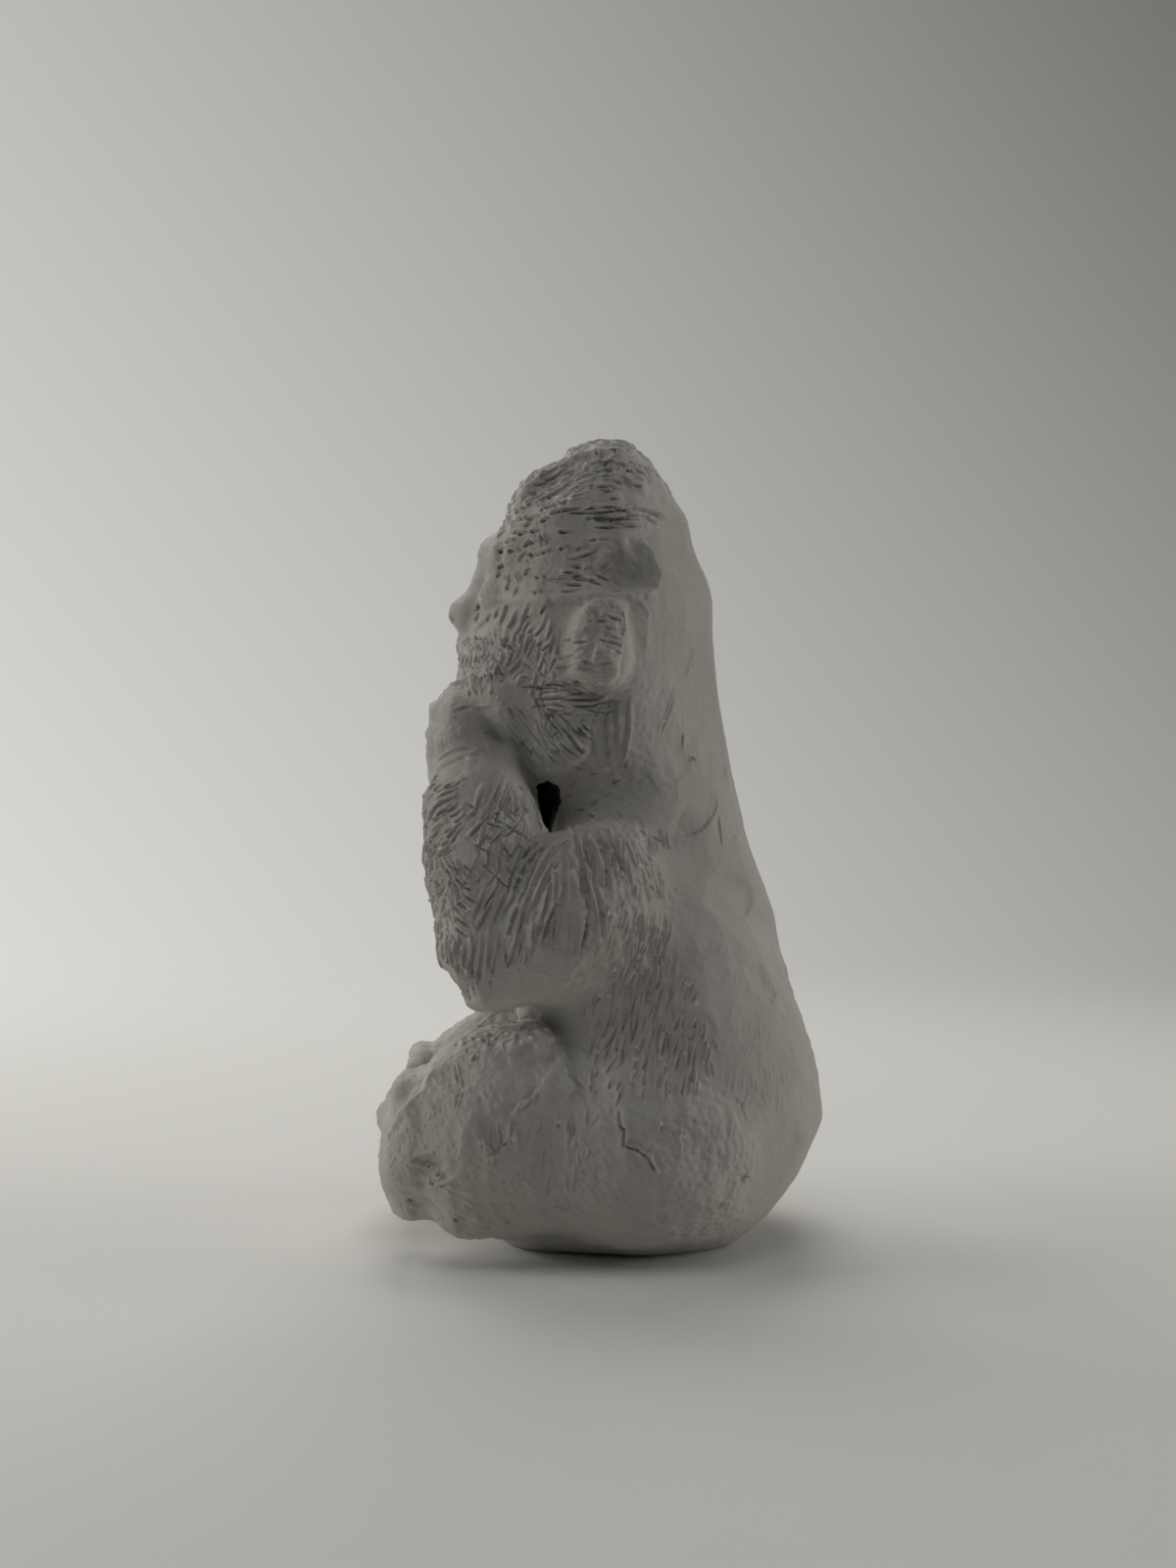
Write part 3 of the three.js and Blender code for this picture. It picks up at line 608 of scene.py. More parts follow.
HEAD_FUR = [
    (("head", "crown_cap"),
     [(526, 499), (556, 476), (580, 464), (616, 475), (640, 497), (622, 517), (598, 514), (571, 508)],
     14, 8, 1.7, (3.5, 8.1), (0.5, 0.85), (0.42, 0.90)),
    (("crown_cap", "head", "mane"), [(600, 466), (640, 464), (668, 482), (660, 505), (620, 492)], -10,
     14, 1.9, (2.4, 5.4), (0.5, 0.9), (0.36, 0.71)),
    (("head", "mane"), [(560, 514), (628, 510), (690, 520), (676, 543), (604, 556), (580, 540)], 6, 7,
     1.8, (5.4, 12.2), (0.5, 0.8), (0.55, 1.0)),
    (("head",), [(580, 556), (630, 540), (672, 530), (668, 545), (620, 556), (592, 572)], 22, 6, 1.8,
     (5.4, 10.8), (0.5, 0.8), (0.45, 0.85)),
    (("head",), [(556, 584), (592, 576), (636, 596), (632, 606), (556, 610)], -3, 12, 1.8, (2.7, 6.2),
     (0.5, 0.8), (0.42, 0.83)),
    (("head",), [(604, 580), (628, 570), (640, 586), (612, 598)], 46, 8, 1.8, (2.7, 4.9), (0.5, 0.8),
     (0.42, 0.71)),
    (("head", "muzzle"),
     [(481, 640), (505, 632), (520, 640), (514, 678), (505, 706), (490, 712), (472, 692), (468, 655)],
     -50, 22, 1.7, (1.6, 4.1), (0.5, 0.85), (0.48, 0.95)),
    (("head", "muzzle"), [(512, 622), (590, 616), (580, 668), (576, 694), (545, 716), (505, 700)], 68,
     16, 1.9, (2.4, 5.7), (0.45, 0.8), (0.42, 0.83)),
    (("head", "muzzle"), [(512, 640), (552, 650), (572, 690), (545, 716), (505, 700)], -34, 12, 2.2,
     (2.2, 4.6), (0.45, 0.75), (0.36, 0.71)),
    (("side_ear", "head"), [(588, 616), (638, 610), (642, 660), (632, 700), (574, 700), (580, 650)],
     -12, 32, 2.3, (1.5, 4.5), (0.45, 0.75), (0.25, 0.6)),
    (("head", "side_ear"), [(528, 694), (588, 690), (636, 700), (632, 732), (560, 738)], -2, 6, 1.6,
     (4.1, 9.5), (0.5, 0.8), (0.48, 0.90)),
    (("head", "muzzle"),
     [(498, 708), (560, 716), (604, 738), (606, 764), (586, 784), (548, 790), (520, 768)], -58, 13, 2.0,
     (2.4, 5.9), (0.5, 0.9), (0.75, 1.35)),
    (("head", "muzzle"), [(530, 722), (600, 728), (600, 752), (560, 750)], 50, 12, 2.6, (2.2, 4.3),
     (0.5, 0.8), (0.42, 0.77)),
]


def eased(values, start, end):
    """Zero before start, one after end and a soft step between."""
    share = np.clip((values - start) / (end - start), 0, 1)
    return share ** 2 * (3 - 2 * share)


FACE_NARROW = 0.34
FACE_RUN = (-19.0, -37.0)
CHIN = (122.0, 132.0)
narrowing = FACE_NARROW * eased(clay.points[:, 1], *FACE_RUN) * eased(clay.points[:, 2], *CHIN)
clay.points[:, 0] *= 1 - narrowing
clay.settle()
clay.press(clay.at(*CAP_STEP), CAP_STEP_SIZE, CAP_STEP_DEPTH, ("head",))
for middle, size, depth in FACE_LINE:
    clay.press(clay.at(*middle), size, depth)
clay.settle()
for side in SIDES.values():
    for depth, outline in HEAD_FORMS + [EAR_FORM, CAP_FORM]:
        clay.relief(outline, depth, side)
        clay.settle()
    clay.shave(clay.spot(EAR_FLAT, side), EAR_FLAT_DEPTH, EAR_FLAT_REACH, EAR_LEAN)
    for pixel, radius, depth in EAR_DENTS:
        clay.press(clay.spot(pixel, side), (radius,) * 3, depth)
    for pixel in CROWN_FLATS:
        clay.shave(clay.spot(pixel, side), CROWN_FLAT_DEPTH, CROWN_FLAT_REACH, CROWN_LEAN)
    clay.settle()
    for path, width, height in HEAD_ROLLS:
        clay.line([clay.spot(pixel, side) for pixel in path], width, -height)
    clay.settle()


# Arms
# Rolls of clay from the shoulder down to the elbow and up to the chin, with a mitten of a hand at the end.
# The fur is scored with a stick, long and deep at the shoulder and short round the forearm.
ARM_LINE = [
    ((436, 930), (16.0, 8.0, 13.0), 1.6),
    ((458, 1016), (16.0, 8.0, 8.0), 2.8),
    ((434, 808), (14.0, 7.0, 7.0), -1.4),
    ((440, 726), (10.0, 5.0, 6.0), 1.0),
]
WRIST_CREASES = [
    [(440, 790), (458, 778), (484, 770), (506, 762)], [(446, 774), (462, 766), (478, 764)],
    [(462, 724), (480, 720), (492, 726)],
]
PALM = [(438, 712), (500, 708), (512, 756), (474, 786), (434, 782)]
PALM_PASSES = 40
PALM_FILL = [((478, 734), (9.0, 6.0, 6.0), -1.1), ((490, 752), (9.0, 5.0, 5.0), -0.8)]
ARM_FUR = [
    (("side_forearm",), [(425, 795), (482, 785), (472, 880), (440, 900)], 28, 10, 1.8, (3.0, 7.0),
     (0.5, 0.85), (0.48, 1.01)),
    (("side_forearm",), [(432, 872), (482, 868), (492, 930), (480, 962), (448, 985)], -36, 11, 1.9,
     (3.2, 7.6), (0.5, 0.85), (0.48, 1.01)),
    (("side_forearm",), [(432, 862), (470, 868), (470, 930), (450, 960)], 20, 12, 2.4, (2.7, 5.9),
     (0.45, 0.8), (0.42, 0.83)),
    (("side_forearm", "side_upper_arm"), [(478, 785), (530, 795), (552, 830), (532, 930), (482, 940)],
     64, 11, 2.1, (3.8, 9.5), (0.55, 0.9), (0.48, 1.08)),
    (("side_forearm",), [(470, 800), (536, 805), (540, 900), (478, 910)], -40, 12, 2.8, (3.0, 6.2),
     (0.5, 0.8), (0.42, 0.83)),
    (("side_forearm", "side_upper_arm"), [(448, 962), (550, 946), (556, 988), (490, 1003), (462, 998)],
     85, 6, 1.7, (4.1, 10.1), (0.5, 0.8), (0.53, 1.08)),
    (("side_forearm", "side_upper_arm"), [(524, 862), (574, 850), (572, 958), (520, 972)], 77, 5, 2.1,
     (6.8, 16.2), (0.55, 0.9), (0.53, 1.08)),
    (("side_upper_arm", "trunk"), [(560, 845), (628, 845), (626, 924), (575, 938)], 92, 4, 2.7,
     (10.8, 23.0), (0.8, 1.3), (0.71, 1.43)),
    (("side_upper_arm", "trunk", "mane"), [(622, 847), (682, 852), (680, 932), (624, 930)], 82, 14, 2.3,
     (3.5, 8.6), (0.5, 0.9), (0.42, 0.83)),
    (("side_upper_arm", "trunk"), [(562, 930), (684, 922), (690, 962), (576, 976)], 84, 6, 1.9,
     (3.5, 8.1), (0.45, 0.7), (0.24, 0.50)),
]
for side in SIDES.values():
    for pixel, radii, depth in ARM_LINE + PALM_FILL:
        clay.press(clay.spot(pixel, side), radii, depth)
    clay.rub(clay.patch(PALM, side, ("side_hand", "side_thumb")), PALM_PASSES)
clay.settle()


# Mane
# A cape of clay laid over the back of the head and down the shoulders, smoothed with a wet thumb in long
# strokes from the crown down, with a few nicks and drag lines.
MANE_NICKS = [
    [(704, 690), (710, 670)], [(678, 742), (690, 712)], [(706, 772), (712, 776)],
    [(736, 833), (738, 855)], [(699, 748), (698, 760)], [(664, 850), (676, 856)],
]
MANE_FUR = [
    (("mane",), [(690, 560), (730, 590), (756, 830), (690, 830)], 95, 4, 9.0, (8.0, 18.0), (0.9, 1.4),
     (0.05, 0.12)),
]
MANE_FLATS = [
    (700, 580), (712, 650), (700, 705), (726, 740), (702, 790), (738, 800), (684, 530), (742, 880),
]
FLAT_DEPTH = 0.35
FLAT_REACH = 13.0
FLAT_LEAN = (0.0, 0.1, 0.0)
MANE_NARROW = 0.2
MANE_RUN = (10.0, 25.0)
SHOULDER = (88.0, 102.0)
SHOULDER_SEAM = [(655, 832), (716, 822), (764, 900), (752, 970), (690, 990), (668, 950)]
SEAM_PASSES = 60
MANE_STRIP = [(655, 640), (736, 630), (766, 860), (720, 910), (650, 880)]
NAPE = [(636, 700), (690, 676), (706, 760), (702, 856), (622, 856), (614, 796), (640, 760)]
NAPE_PASSES = 50
BACK_LINE = [
    (30, 0.0), (36, 1.3), (46, 1.7), (54, 2.3), (62, 1.1), (68, 0.7), (74, 1.7), (82, 3.0), (88, 3.7),
    (93, 3.3), (101, 2.8), (109, 2.4), (125, 1.5), (136, 2.0), (144, 1.6), (152, 3.2), (156, 2.2),
    (161, 0.2), (168, 1.1), (175, 2.0),
]
BACK_FACING = 0.6
BACK_FROM = (2.0, 14.0)
BACK_EVEN = (-3.0, -1.5, 0.0, 1.5, 3.0)
heights, pressed_in = zip(*BACK_LINE)
facing_back = np.clip(clay.normals[:, 1] / BACK_FACING, 0, 1) * eased(clay.points[:, 1], *BACK_FROM)
for shift in BACK_EVEN:
    depth = np.interp(clay.points[:, 2] + shift, heights, pressed_in)
    clay.points[:, 1] -= facing_back * depth / len(BACK_EVEN)
clay.settle()
narrowing = MANE_NARROW * eased(clay.points[:, 1], *MANE_RUN) * eased(clay.points[:, 2], *SHOULDER)
clay.points[:, 0] *= 1 - narrowing
clay.settle()
for side in SIDES.values():
    clay.rub(clay.patch(NAPE, side, ("mane", "head", "trunk")), NAPE_PASSES)
    clay.rub(clay.patch(SHOULDER_SEAM, side, ("mane", "trunk", "side_upper_arm")), SEAM_PASSES)
    for pixel in MANE_FLATS:
        clay.shave(clay.spot(pixel, side), FLAT_DEPTH, FLAT_REACH, FLAT_LEAN)
clay.settle()


# Trunk
# One thick lump, sat down on the bench so that it has a flat seat. A needle has combed the flanks in short
# upright strokes, and the drying clay has cracked above the hip.
FLANK_FUR = [
    (("trunk", "side_upper_arm", "side_thigh"),
     [(590, 1020), (640, 966), (690, 962), (722, 1040), (742, 1100), (736, 1132), (640, 1126),
      (600, 1116)], 80, 6, 1.9, (2.0, 6.5), (0.42, 0.65), (0.36, 0.83)),
    (("trunk", "side_upper_arm"), [(640, 956), (682, 950), (690, 1070), (650, 1090)], 82, 5, 2.6,
     (5.2, 10.4), (0.5, 0.75), (0.50, 0.99)),
]
HIP_FUR = [
    (("trunk", "side_thigh"), [(736, 1096), (803, 1094), (806, 1136), (752, 1142)], 84, 5, 1.7,
     (1.8, 4.4), (0.4, 0.6), (0.24, 0.56)),
    (("trunk", "side_thigh", "side_shin"), [(500, 1142), (605, 1136), (606, 1212), (500, 1218)], 87, 4,
     2.0, (2.1, 6.0), (0.4, 0.6), (0.23, 0.56)),
    (("trunk", "side_thigh"), [(650, 1140), (760, 1138), (750, 1180), (660, 1176)], 82, 6, 2.6,
     (1.8, 4.4), (0.4, 0.6), (0.20, 0.50)),
]
HIP_CRACKS = [
    [(628, 1134), (631, 1146), (634, 1157), (638, 1166)],
    [(638, 1166), (651, 1172), (661, 1180), (669, 1190)],
]
FLANK_SCRATCHES = [
    [(676, 961), (670, 990), (667, 1020), (662, 1060), (657, 1100)], [(690, 975), (684, 1010)],
    [(563, 1233), (580, 1235), (596, 1233)],
]
FLANK_FORMS = [
    (0.7,
     [(741, 905, 0.9), (766, 950, 0.9), (790, 998, 3.0), (812, 1004, 5.0), (794, 930, 5.0),
      (765, 885, 5.0)]),
    (0.6, [(757, 985, 2.0), (776, 980, 1.6), (794, 1012, 0.9), (788, 1028, 0.9), (764, 1010, 1.4)]),
]
FLANK_DENTS = [
    ((622, 1174), (8, 4.6, 3.0), 0.6),
    ((727, 1195), (8, 8.0, 8.0), 0.4),
    ((690, 1170), (8, 5.0, 4.0), 0.3),
    ((655, 1090), (8, 6.0, 12.0), 0.3),
    ((715, 1010), (8, 7.0, 12.0), -0.3),
]
FLANK_FLATS = [
    ((760, 940), 0.4, 12),
    ((796, 1090), 0.4, 12),
    ((745, 1215), 0.5, 12),
    ((640, 1240), 0.4, 14),
]
for side in SIDES.values():
    for depth, outline in FLANK_FORMS:
        clay.relief(outline, depth, side)
    for pixel, radii, depth in FLANK_DENTS:
        clay.press(clay.spot(pixel, side), radii, depth)
    for pixel, depth, reach in FLANK_FLATS:
        clay.shave(clay.spot(pixel, side), depth, reach)
    clay.settle()


# Legs
# Short thick rolls folded at the knee, drawn out into a foot with five pressed-on toes. They are left as
# the fingers pressed them, with soft flats and ridges.
LEG_FORMS = [
    (-0.9,
     [(500, 1060, 3.0), (567, 1056, 1.8), (580, 1078, 1.8), (594, 1112, 2.2), (580, 1134, 5.0),
      (520, 1142, 6.0)]),
    (-0.6,
     [(450, 1062, 1.8), (470, 1058, 4.0), (452, 1110, 4.0), (422, 1162, 3.0), (402, 1164, 1.4),
      (424, 1108, 1.4)]),
    (0.7, [(484, 1140, 2.2), (512, 1136, 2.2), (524, 1164, 2.2), (504, 1180, 2.2), (486, 1172, 2.2)]),
]
FAR_LEG_LUMPS = ("shin", "foot", "toe")
FAR_LEG_FROM = 20.0
FAR_LEG_SQUASH = 0.13
FAR_LEG_FOOT = -8.0
FAR_LEG_REACH = 12.0
HIP_CREASE = [(569, 1057), (575, 1072), (583, 1092), (593, 1112)]
LEG_RIDGES = [
    ([(562, 1060), (571, 1077), (562, 1099), (552, 1116), (526, 1136)], 2.2, 0.6),
    ([(446, 1068), (440, 1090), (425, 1120), (408, 1138), (391, 1162)], 2.4, 0.5),
]
ELBOW_REST = [((541, 1031), (12.0, 8.0, 6.0), -3.4), ((545, 1060), (12.0, 8.0, 5.0), -3.2)]
HEEL = [
    ((407, 1231), (14.0, 8.0, 7.0), 1.6),
    ((418, 1243), (16.0, 8.0, 6.0), 2.2),
    ((470, 1250), (16.0, 11.0, 6.0), -2.6),
    ((430, 1081), (12.0, 4.5, 4.5), -1.3),
    ((409, 1118), (12.0, 5.0, 6.5), -1.5),
]
TOES = [(376, 1060), (446, 1060), (434, 1098), (398, 1160), (376, 1162)]
TOE_PASSES = 20
TOUCH_LUMPS = ("side_forearm", "side_upper_arm", "side_shin", "side_thigh")
ELBOW_TOUCH = [(512, 1022), (565, 1022), (565, 1066), (512, 1066)]
TOUCH_PASSES = 12
LEG_DENTS = [
    ((540, 1082), (8, 4.6, 5.6), 0.8),
    ((505, 1160), (8, 3.0, 3.0), 0.5),
    ((434, 1196), (8, 4.0, 3.5), 0.8),
    ((476, 1100), (8, 6.0, 8.0), 0.5),
    ((560, 1180), (8, 9.0, 7.0), 0.35),
    ((462, 1178), (8, 5.0, 4.0), -0.5),
    ((416, 1182), (8, 4.0, 4.0), -0.5),
    ((448, 1222), (8, 5.0, 3.5), -0.5),
    ((425, 1210), (8, 2.4, 2.0), 0.6),
    ((444, 1190), (8, 2.2, 1.6), 0.7),
    ((430, 1186), (8, 1.8, 1.6), 0.7),
    ((452, 1204), (8, 2.0, 2.0), 0.6),
    ((430, 1145), (8, 3.0, 5.0), 0.5),
    ((458, 1150), (8, 3.0, 4.0), 0.4),
    ((470, 1240), (8, 4.0, 2.5), 0.5),
]
LEG_FLATS = [
    ((470, 1090), 0.5, 9),
    ((520, 1088), 0.4, 8),
    ((455, 1140), 0.4, 9),
    ((545, 1125), 0.4, 7),
    ((600, 1170), 0.4, 12),
]
LEG_SCUFFS = (("side_thigh", "side_shin", "side_foot"),
              [(388, 1160), (440, 1056), (570, 1046), (612, 1110), (700, 1110), (700, 1210),
               (600, 1225), (470, 1262), (390, 1250)], 55, 45, 8.0, (1.6, 4.0), (0.45, 0.7),
              (0.08, 0.25))
LEG_NICKS = [
    [(462, 1086), (465, 1102)], [(468, 1112), (464, 1124)], [(497, 1176), (509, 1174)],
    [(492, 1158), (495, 1168)], [(500, 1164), (506, 1172), (515, 1163)], [(526, 1138), (534, 1128)],
    [(536, 1132), (544, 1122)], [(548, 1126), (552, 1116)], [(424, 1188), (436, 1182)],
    [(446, 1214), (456, 1210)],
]
far_names = [name for name in lump_names if name.startswith("right") and name.endswith(FAR_LEG_LUMPS)]
far_leg = clay.of(*far_names)
drop = FAR_LEG_SQUASH * np.maximum(clay.points[:, 2] - FAR_LEG_FROM, 0)
clay.points[:, 2] -= drop * far_leg * np.clip((FAR_LEG_FOOT - clay.points[:, 1]) / FAR_LEG_REACH, 0, 1)
clay.settle()
for side in SIDES.values():
    for depth, outline in LEG_FORMS:
        clay.relief(outline, depth, side)
        clay.settle()
    for pixel, radii, depth in ELBOW_REST + HEEL + LEG_DENTS:
        clay.press(clay.spot(pixel, side), radii, depth)
    clay.rub(clay.inside(TOES, side), TOE_PASSES)
    clay.rub(clay.patch(ELBOW_TOUCH, side, TOUCH_LUMPS), TOUCH_PASSES)
    for pixel, depth, reach in LEG_FLATS:
        clay.shave(clay.spot(pixel, side), depth, reach)
    for path, width, height in LEG_RIDGES:
        clay.line([clay.spot(pixel, side) for pixel in path], width, -height)
    clay.settle()


# Fingerwork
# Squeezing by hand leaves no part of the clay quite even: shallow dents and flats all over it, a
# fingertip wide, and a skin roughened by damp fingers.
DENT_SPACING = 8.0
DENT_RADIUS = (4.0, 8.0)
DENT_DEPTH = (0.06, 0.26)
PADDLE_SPACING = 13.0
PADDLE_REACH = (8.0, 13.0)
PADDLE_DEPTH = (0.06, 0.2)
SMOOTH_SHARE = 0.35
LIMB_GRAIN = 4.0
LIMB_SHARE = 1.6
# Size of an unevenness, and its height on rough and on smooth lumps.
WAVES = ((15.0, 0.16, 0.08), (6.0, 0.1, 0.03), (2.6, 0.08, 0.03), (1.3, 0.05, 0.022))
LIMBS = ("thigh", "shin", "foot", "hand", "upper_arm")
DENT_SEED = 11
draw = random.Random(DENT_SEED)
smooth = clay.of("trunk", "mane")
for spot in clay.scatter(np.ones(len(clay.points), bool), DENT_SPACING, draw):
    deep = draw.uniform(*DENT_DEPTH) * (SMOOTH_SHARE if smooth[spot] else 1)
    clay.press(spot, tuple(draw.uniform(*DENT_RADIUS) for _ in range(3)), deep)
paddled = clay.of("trunk", "mane", "left_thigh", "right_thigh", "left_shin", "right_shin")
for spot in clay.scatter(paddled, PADDLE_SPACING, draw):
    clay.shave(spot, draw.uniform(*PADDLE_DEPTH), draw.uniform(*PADDLE_REACH))
clay.settle()
limbs = clay.of(*(side + "_" + name for side in SIDES for name in LIMBS))
for seed, (size, rough_height, smooth_height) in enumerate(WAVES):
    height = np.where(smooth, smooth_height, rough_height)
    height = height * np.where(limbs & (size < LIMB_GRAIN), LIMB_SHARE, 1)
    clay.points += clay.normals * (clay.wavy(size, seed) * height)[:, None]
clay.points[:, 2] = np.maximum(clay.points[:, 2], 0.0)
clay.settle()


# Fur
# Every hair is one stroke of a needle or a stick in the leather-hard clay, which leaves crumbs and burrs
# behind. Lines, pits and pricks are made the same way, and the hole at the neck is dug out last.

# Lumps, the way that the patch faces and how nearly, its lowest and highest point, and the marks as on
# the head, with a heading in place of the angle.
ROUND_PRICKS = [
    (("head",), (0, -1, 0.1), 0.7, 149, 170, (1, 0, 0.05), 30, 2.6, (1.6, 3.0), (0.9, 1.4),
     (0.45, 0.85)),
]
ROUND_FUR = [
    (("crown_cap", "head"), (0, 0, 1), 0.6, 160, 180, (0.1, 1, 0), 12, 1.9, (2.4, 5.0), (0.55, 0.9),
     (0.35, 0.7)),
    (("muzzle",), (0, -1, 0), 0.2, 118, 133, (0.2, 0, 1), 28, 2.2, (1.2, 2.6), (0.5, 0.8), (0.3, 0.6)),
    (("trunk",), (0, 1, 0), 0.5, 34, 62, (0, 0.15, 1), 6, 2.6, (1.8, 4.8), (0.45, 0.65), (0.15, 0.35)),
    (("left_forearm", "right_forearm"), (0, -1, 0), 0.75, 56, 100, (0.4, 0, 1), 14, 2.0, (2.4, 5.5),
     (0.55, 0.85), (0.4, 0.8)),
    (("mane",), (0, 1, 0), 0.72, 70, 160, (0, 0, 1), 4, 7.0, (8.0, 18.0), (0.9, 1.4), (0.08, 0.18)),
]
FUR = HEAD_FUR + ARM_FUR + MANE_FUR + FLANK_FUR + HIP_FUR + [LEG_SCUFFS]
# Paths with the width and depth of their groove.
TOOL_LINES = [
    (WRIST_CREASES, 1.2, 0.3),
    (HIP_CRACKS, 0.55, 0.8),
    (EAR_SLITS, 0.7, 0.45),
    ([EAR_FURROW], 2.6, 0.35),
    (JAW_GROOVES, 0.9, 0.7),
    (MANE_NICKS, 0.6, 0.35),
    (LEG_NICKS, 0.7, 0.5),
    (FLANK_SCRATCHES, 0.6, 0.35),
    ([HIP_CREASE], 1.4, 0.5),
]
PITS = [
    (482, 1078), (436, 1190), (445, 1197), (462, 1246), (516, 1249), (438, 1206), (609, 1280),
    (688, 1262), (765, 1204), (743, 1230), (709, 771),
]
PIT_WIDTH = 0.6
PIT_DEPTH = 0.8
PIT_STRETCH = 1.6
FUR_SEED = 40
ROUND_FUR_SEED = 43
CRUMB_SEED = 77
CRUMB_FROM = 0.2
CRUMB_SPACING = 4.0
CRUMB_RADIUS = (0.35, 0.7)
CRUMB_HEIGHT = (0.15, 0.4)
CRUMB_PATCHES = [
    (("side_shin", "side_thigh"), [(450, 1046), (590, 1046), (592, 1066), (450, 1066)], 1.9, (0.5, 0.9),
     (0.4, 0.8)),
    (("trunk",), [(600, 980), (700, 970), (735, 1110), (620, 1110)], 3.4, (0.35, 0.6), (0.3, 0.5)),
]
BURR = 0.25
CRUMB_MARK = -0.3
# This mark makes the material paint the hole at the neck black, as painted shade.
HOLE_SHADE_MARK = 5.0
furred = np.zeros(len(clay.points), bool)
for names, outline, *_ in HEAD_FUR + HEAD_PRICKS + ARM_FUR + FLANK_FUR:
    for side in SIDES.values():
        furred |= clay.patch(outline, side, names)
for names, facing, least, low, high, *_ in ROUND_FUR + ROUND_PRICKS:
    if names[0] not in ("mane", "trunk"):
        furred |= clay.turned(names, facing, least, low, high)
for side_name, side in SIDES.items():
    furred |= clay.of(*(side_name + "_" + name for name in ("ear", "hand", "thumb", "foot")))
    furred |= clay.patch(LEG_SCUFFS[1], side, LEG_SCUFFS[0])
    furred |= clay.of(side_name + "_eye") | clay.patch(MANE_STRIP, side, ("mane",))
clay.refine(furred)
for side in SIDES.values():
    draw = random.Random(FUR_SEED + side)
    for paths, width, depth in TOOL_LINES:
        for path in paths:
            clay.line([clay.spot(pixel, side) for pixel in path], width, depth)
    for pixel in PITS:
        turned = leaning(draw.uniform(0, 180))
        clay.stroke(clay.spot(pixel, side), turned, PIT_WIDTH * PIT_STRETCH, PIT_WIDTH, PIT_DEPTH)
    for names, outline, angle, *marks in HEAD_PRICKS:
        clay.prick(clay.patch(outline, side, names), leaning(angle), *marks, draw)
    for names, outline, angle, *marks in FUR:
        clay.hatch(clay.patch(outline, side, names), leaning(angle), *marks, draw)
    for place, (width, depth) in ((EYE_PLACE, PUPIL), (NOSTRIL_PLACE, NOSTRIL)):
        clay.press(clay.at(place[0] * side, *place[1:]), (width,) * 3, depth)
clay.line([clay.at(*place) for place in MOUTH], MOUTH_WIDTH, MOUTH_DEPTH)
draw = random.Random(ROUND_FUR_SEED)
for rows, mark in ((ROUND_PRICKS, clay.prick), (ROUND_FUR, clay.hatch)):
    for names, facing, least, low, high, heading, *marks in rows:
        mark(clay.turned(names, facing, least, low, high), np.array(heading, float), *marks, draw)
clay.raised *= np.exp(-clay.cut / BURR)
clay.points += clay.normals * (clay.raised - clay.cut)[:, None]
draw = random.Random(CRUMB_SEED)
crumbly = (clay.cut > CRUMB_FROM) & ~clay.of("trunk")
crumbs = [(spot, CRUMB_RADIUS, CRUMB_HEIGHT) for spot in clay.scatter(crumbly, CRUMB_SPACING, draw)]
for side in SIDES.values():
    for names, outline, spacing, radius, height in CRUMB_PATCHES:
        spots = clay.scatter(clay.patch(outline, side, names), spacing, draw)
        crumbs += [(spot, radius, height) for spot in spots]
for spot, radius, height in crumbs:
    size = draw.uniform(*radius)
    clay.press(spot, (size, size, size), -draw.uniform(*height))
    clay.cut[clay.near(spot, size)] = CRUMB_MARK
for side in SIDES.values():
    # The hole is marked so that the material paints it nearly black, as painted shade.
    clay.cut[clay.inside(NECK_HOLE, side)] = HOLE_SHADE_MARK
    clay.relief(NECK_HOLE, NECK_HOLE_DEPTH, side, straight=True)
clay.points[:, 2] = np.maximum(clay.points[:, 2], 0.0)
clay.settle()


# Dry clay
# White air-drying clay, matt and chalky, blotched where it dried unevenly. Painted shade makes it a little
# greyer in the grooves and black in the hole at the neck, and it is paler on the crumbs.
PALE = (0.545, 0.53, 0.50, 1)
DULL = (0.455, 0.437, 0.407, 1)
# Painted shade in the grooves.
GROOVE_SHADE = (0.40, 0.38, 0.35, 1)
CRUMB = (0.72, 0.71, 0.69, 1)
# Painted black shade in the hole at the neck.
HOLE_SHADE = (0.02, 0.02, 0.02, 1)
BLOTCH = 38.0
MOTTLE = 190.0
SPECK = 900.0
GRAIN = 2600.0
# Ranges of a noise or of the cut's depth, and the share or roughness that each end stands for.
BLOTCH_RANGE = (0.32, 0.68, 0.0, 1.0)
MOTTLE_RANGE = (0.35, 0.7, 0.0, 0.5)
SPECK_RANGE = (0.62, 0.72, 0.0, 0.35)
GROOVE_SHADE_RANGE = (0.05, 0.9, 0.0, 0.12)
CRUMB_RANGE = (-0.25, -0.05, 0.7, 0.0)
HOLE_SHADE_RANGE = (3.0, 4.5, 0.0, 1.0)
ROUGH_RANGE = (0.3, 0.7, 0.84, 0.97)
CLAY_SHINE = 0.25
SPECK_TO_GRAIN = 2.2
TOOTH_ROUGHNESS = 0.6
TOOTH_DEPTH = 0.06 * MM
dry_clay = bpy.data.materials.new("dry_clay")
dry_clay.use_nodes = True
nodes, links = dry_clay.node_tree.nodes, dry_clay.node_tree.links
shader = nodes["Principled BSDF"]
shader.inputs["Specular IOR Level"].default_value = CLAY_SHINE
place = nodes.new("ShaderNodeTexCoord").outputs["Object"]


def noise(scale, detail, roughness=0.55):
    """A noise texture on the piece's own coordinates."""
    made = nodes.new("ShaderNodeTexNoise")
    made.inputs["Scale"].default_value = scale
    made.inputs["Detail"].default_value = detail
    made.inputs["Roughness"].default_value = roughness
    links.new(place, made.inputs["Vector"])
    return made.outputs["Fac"]


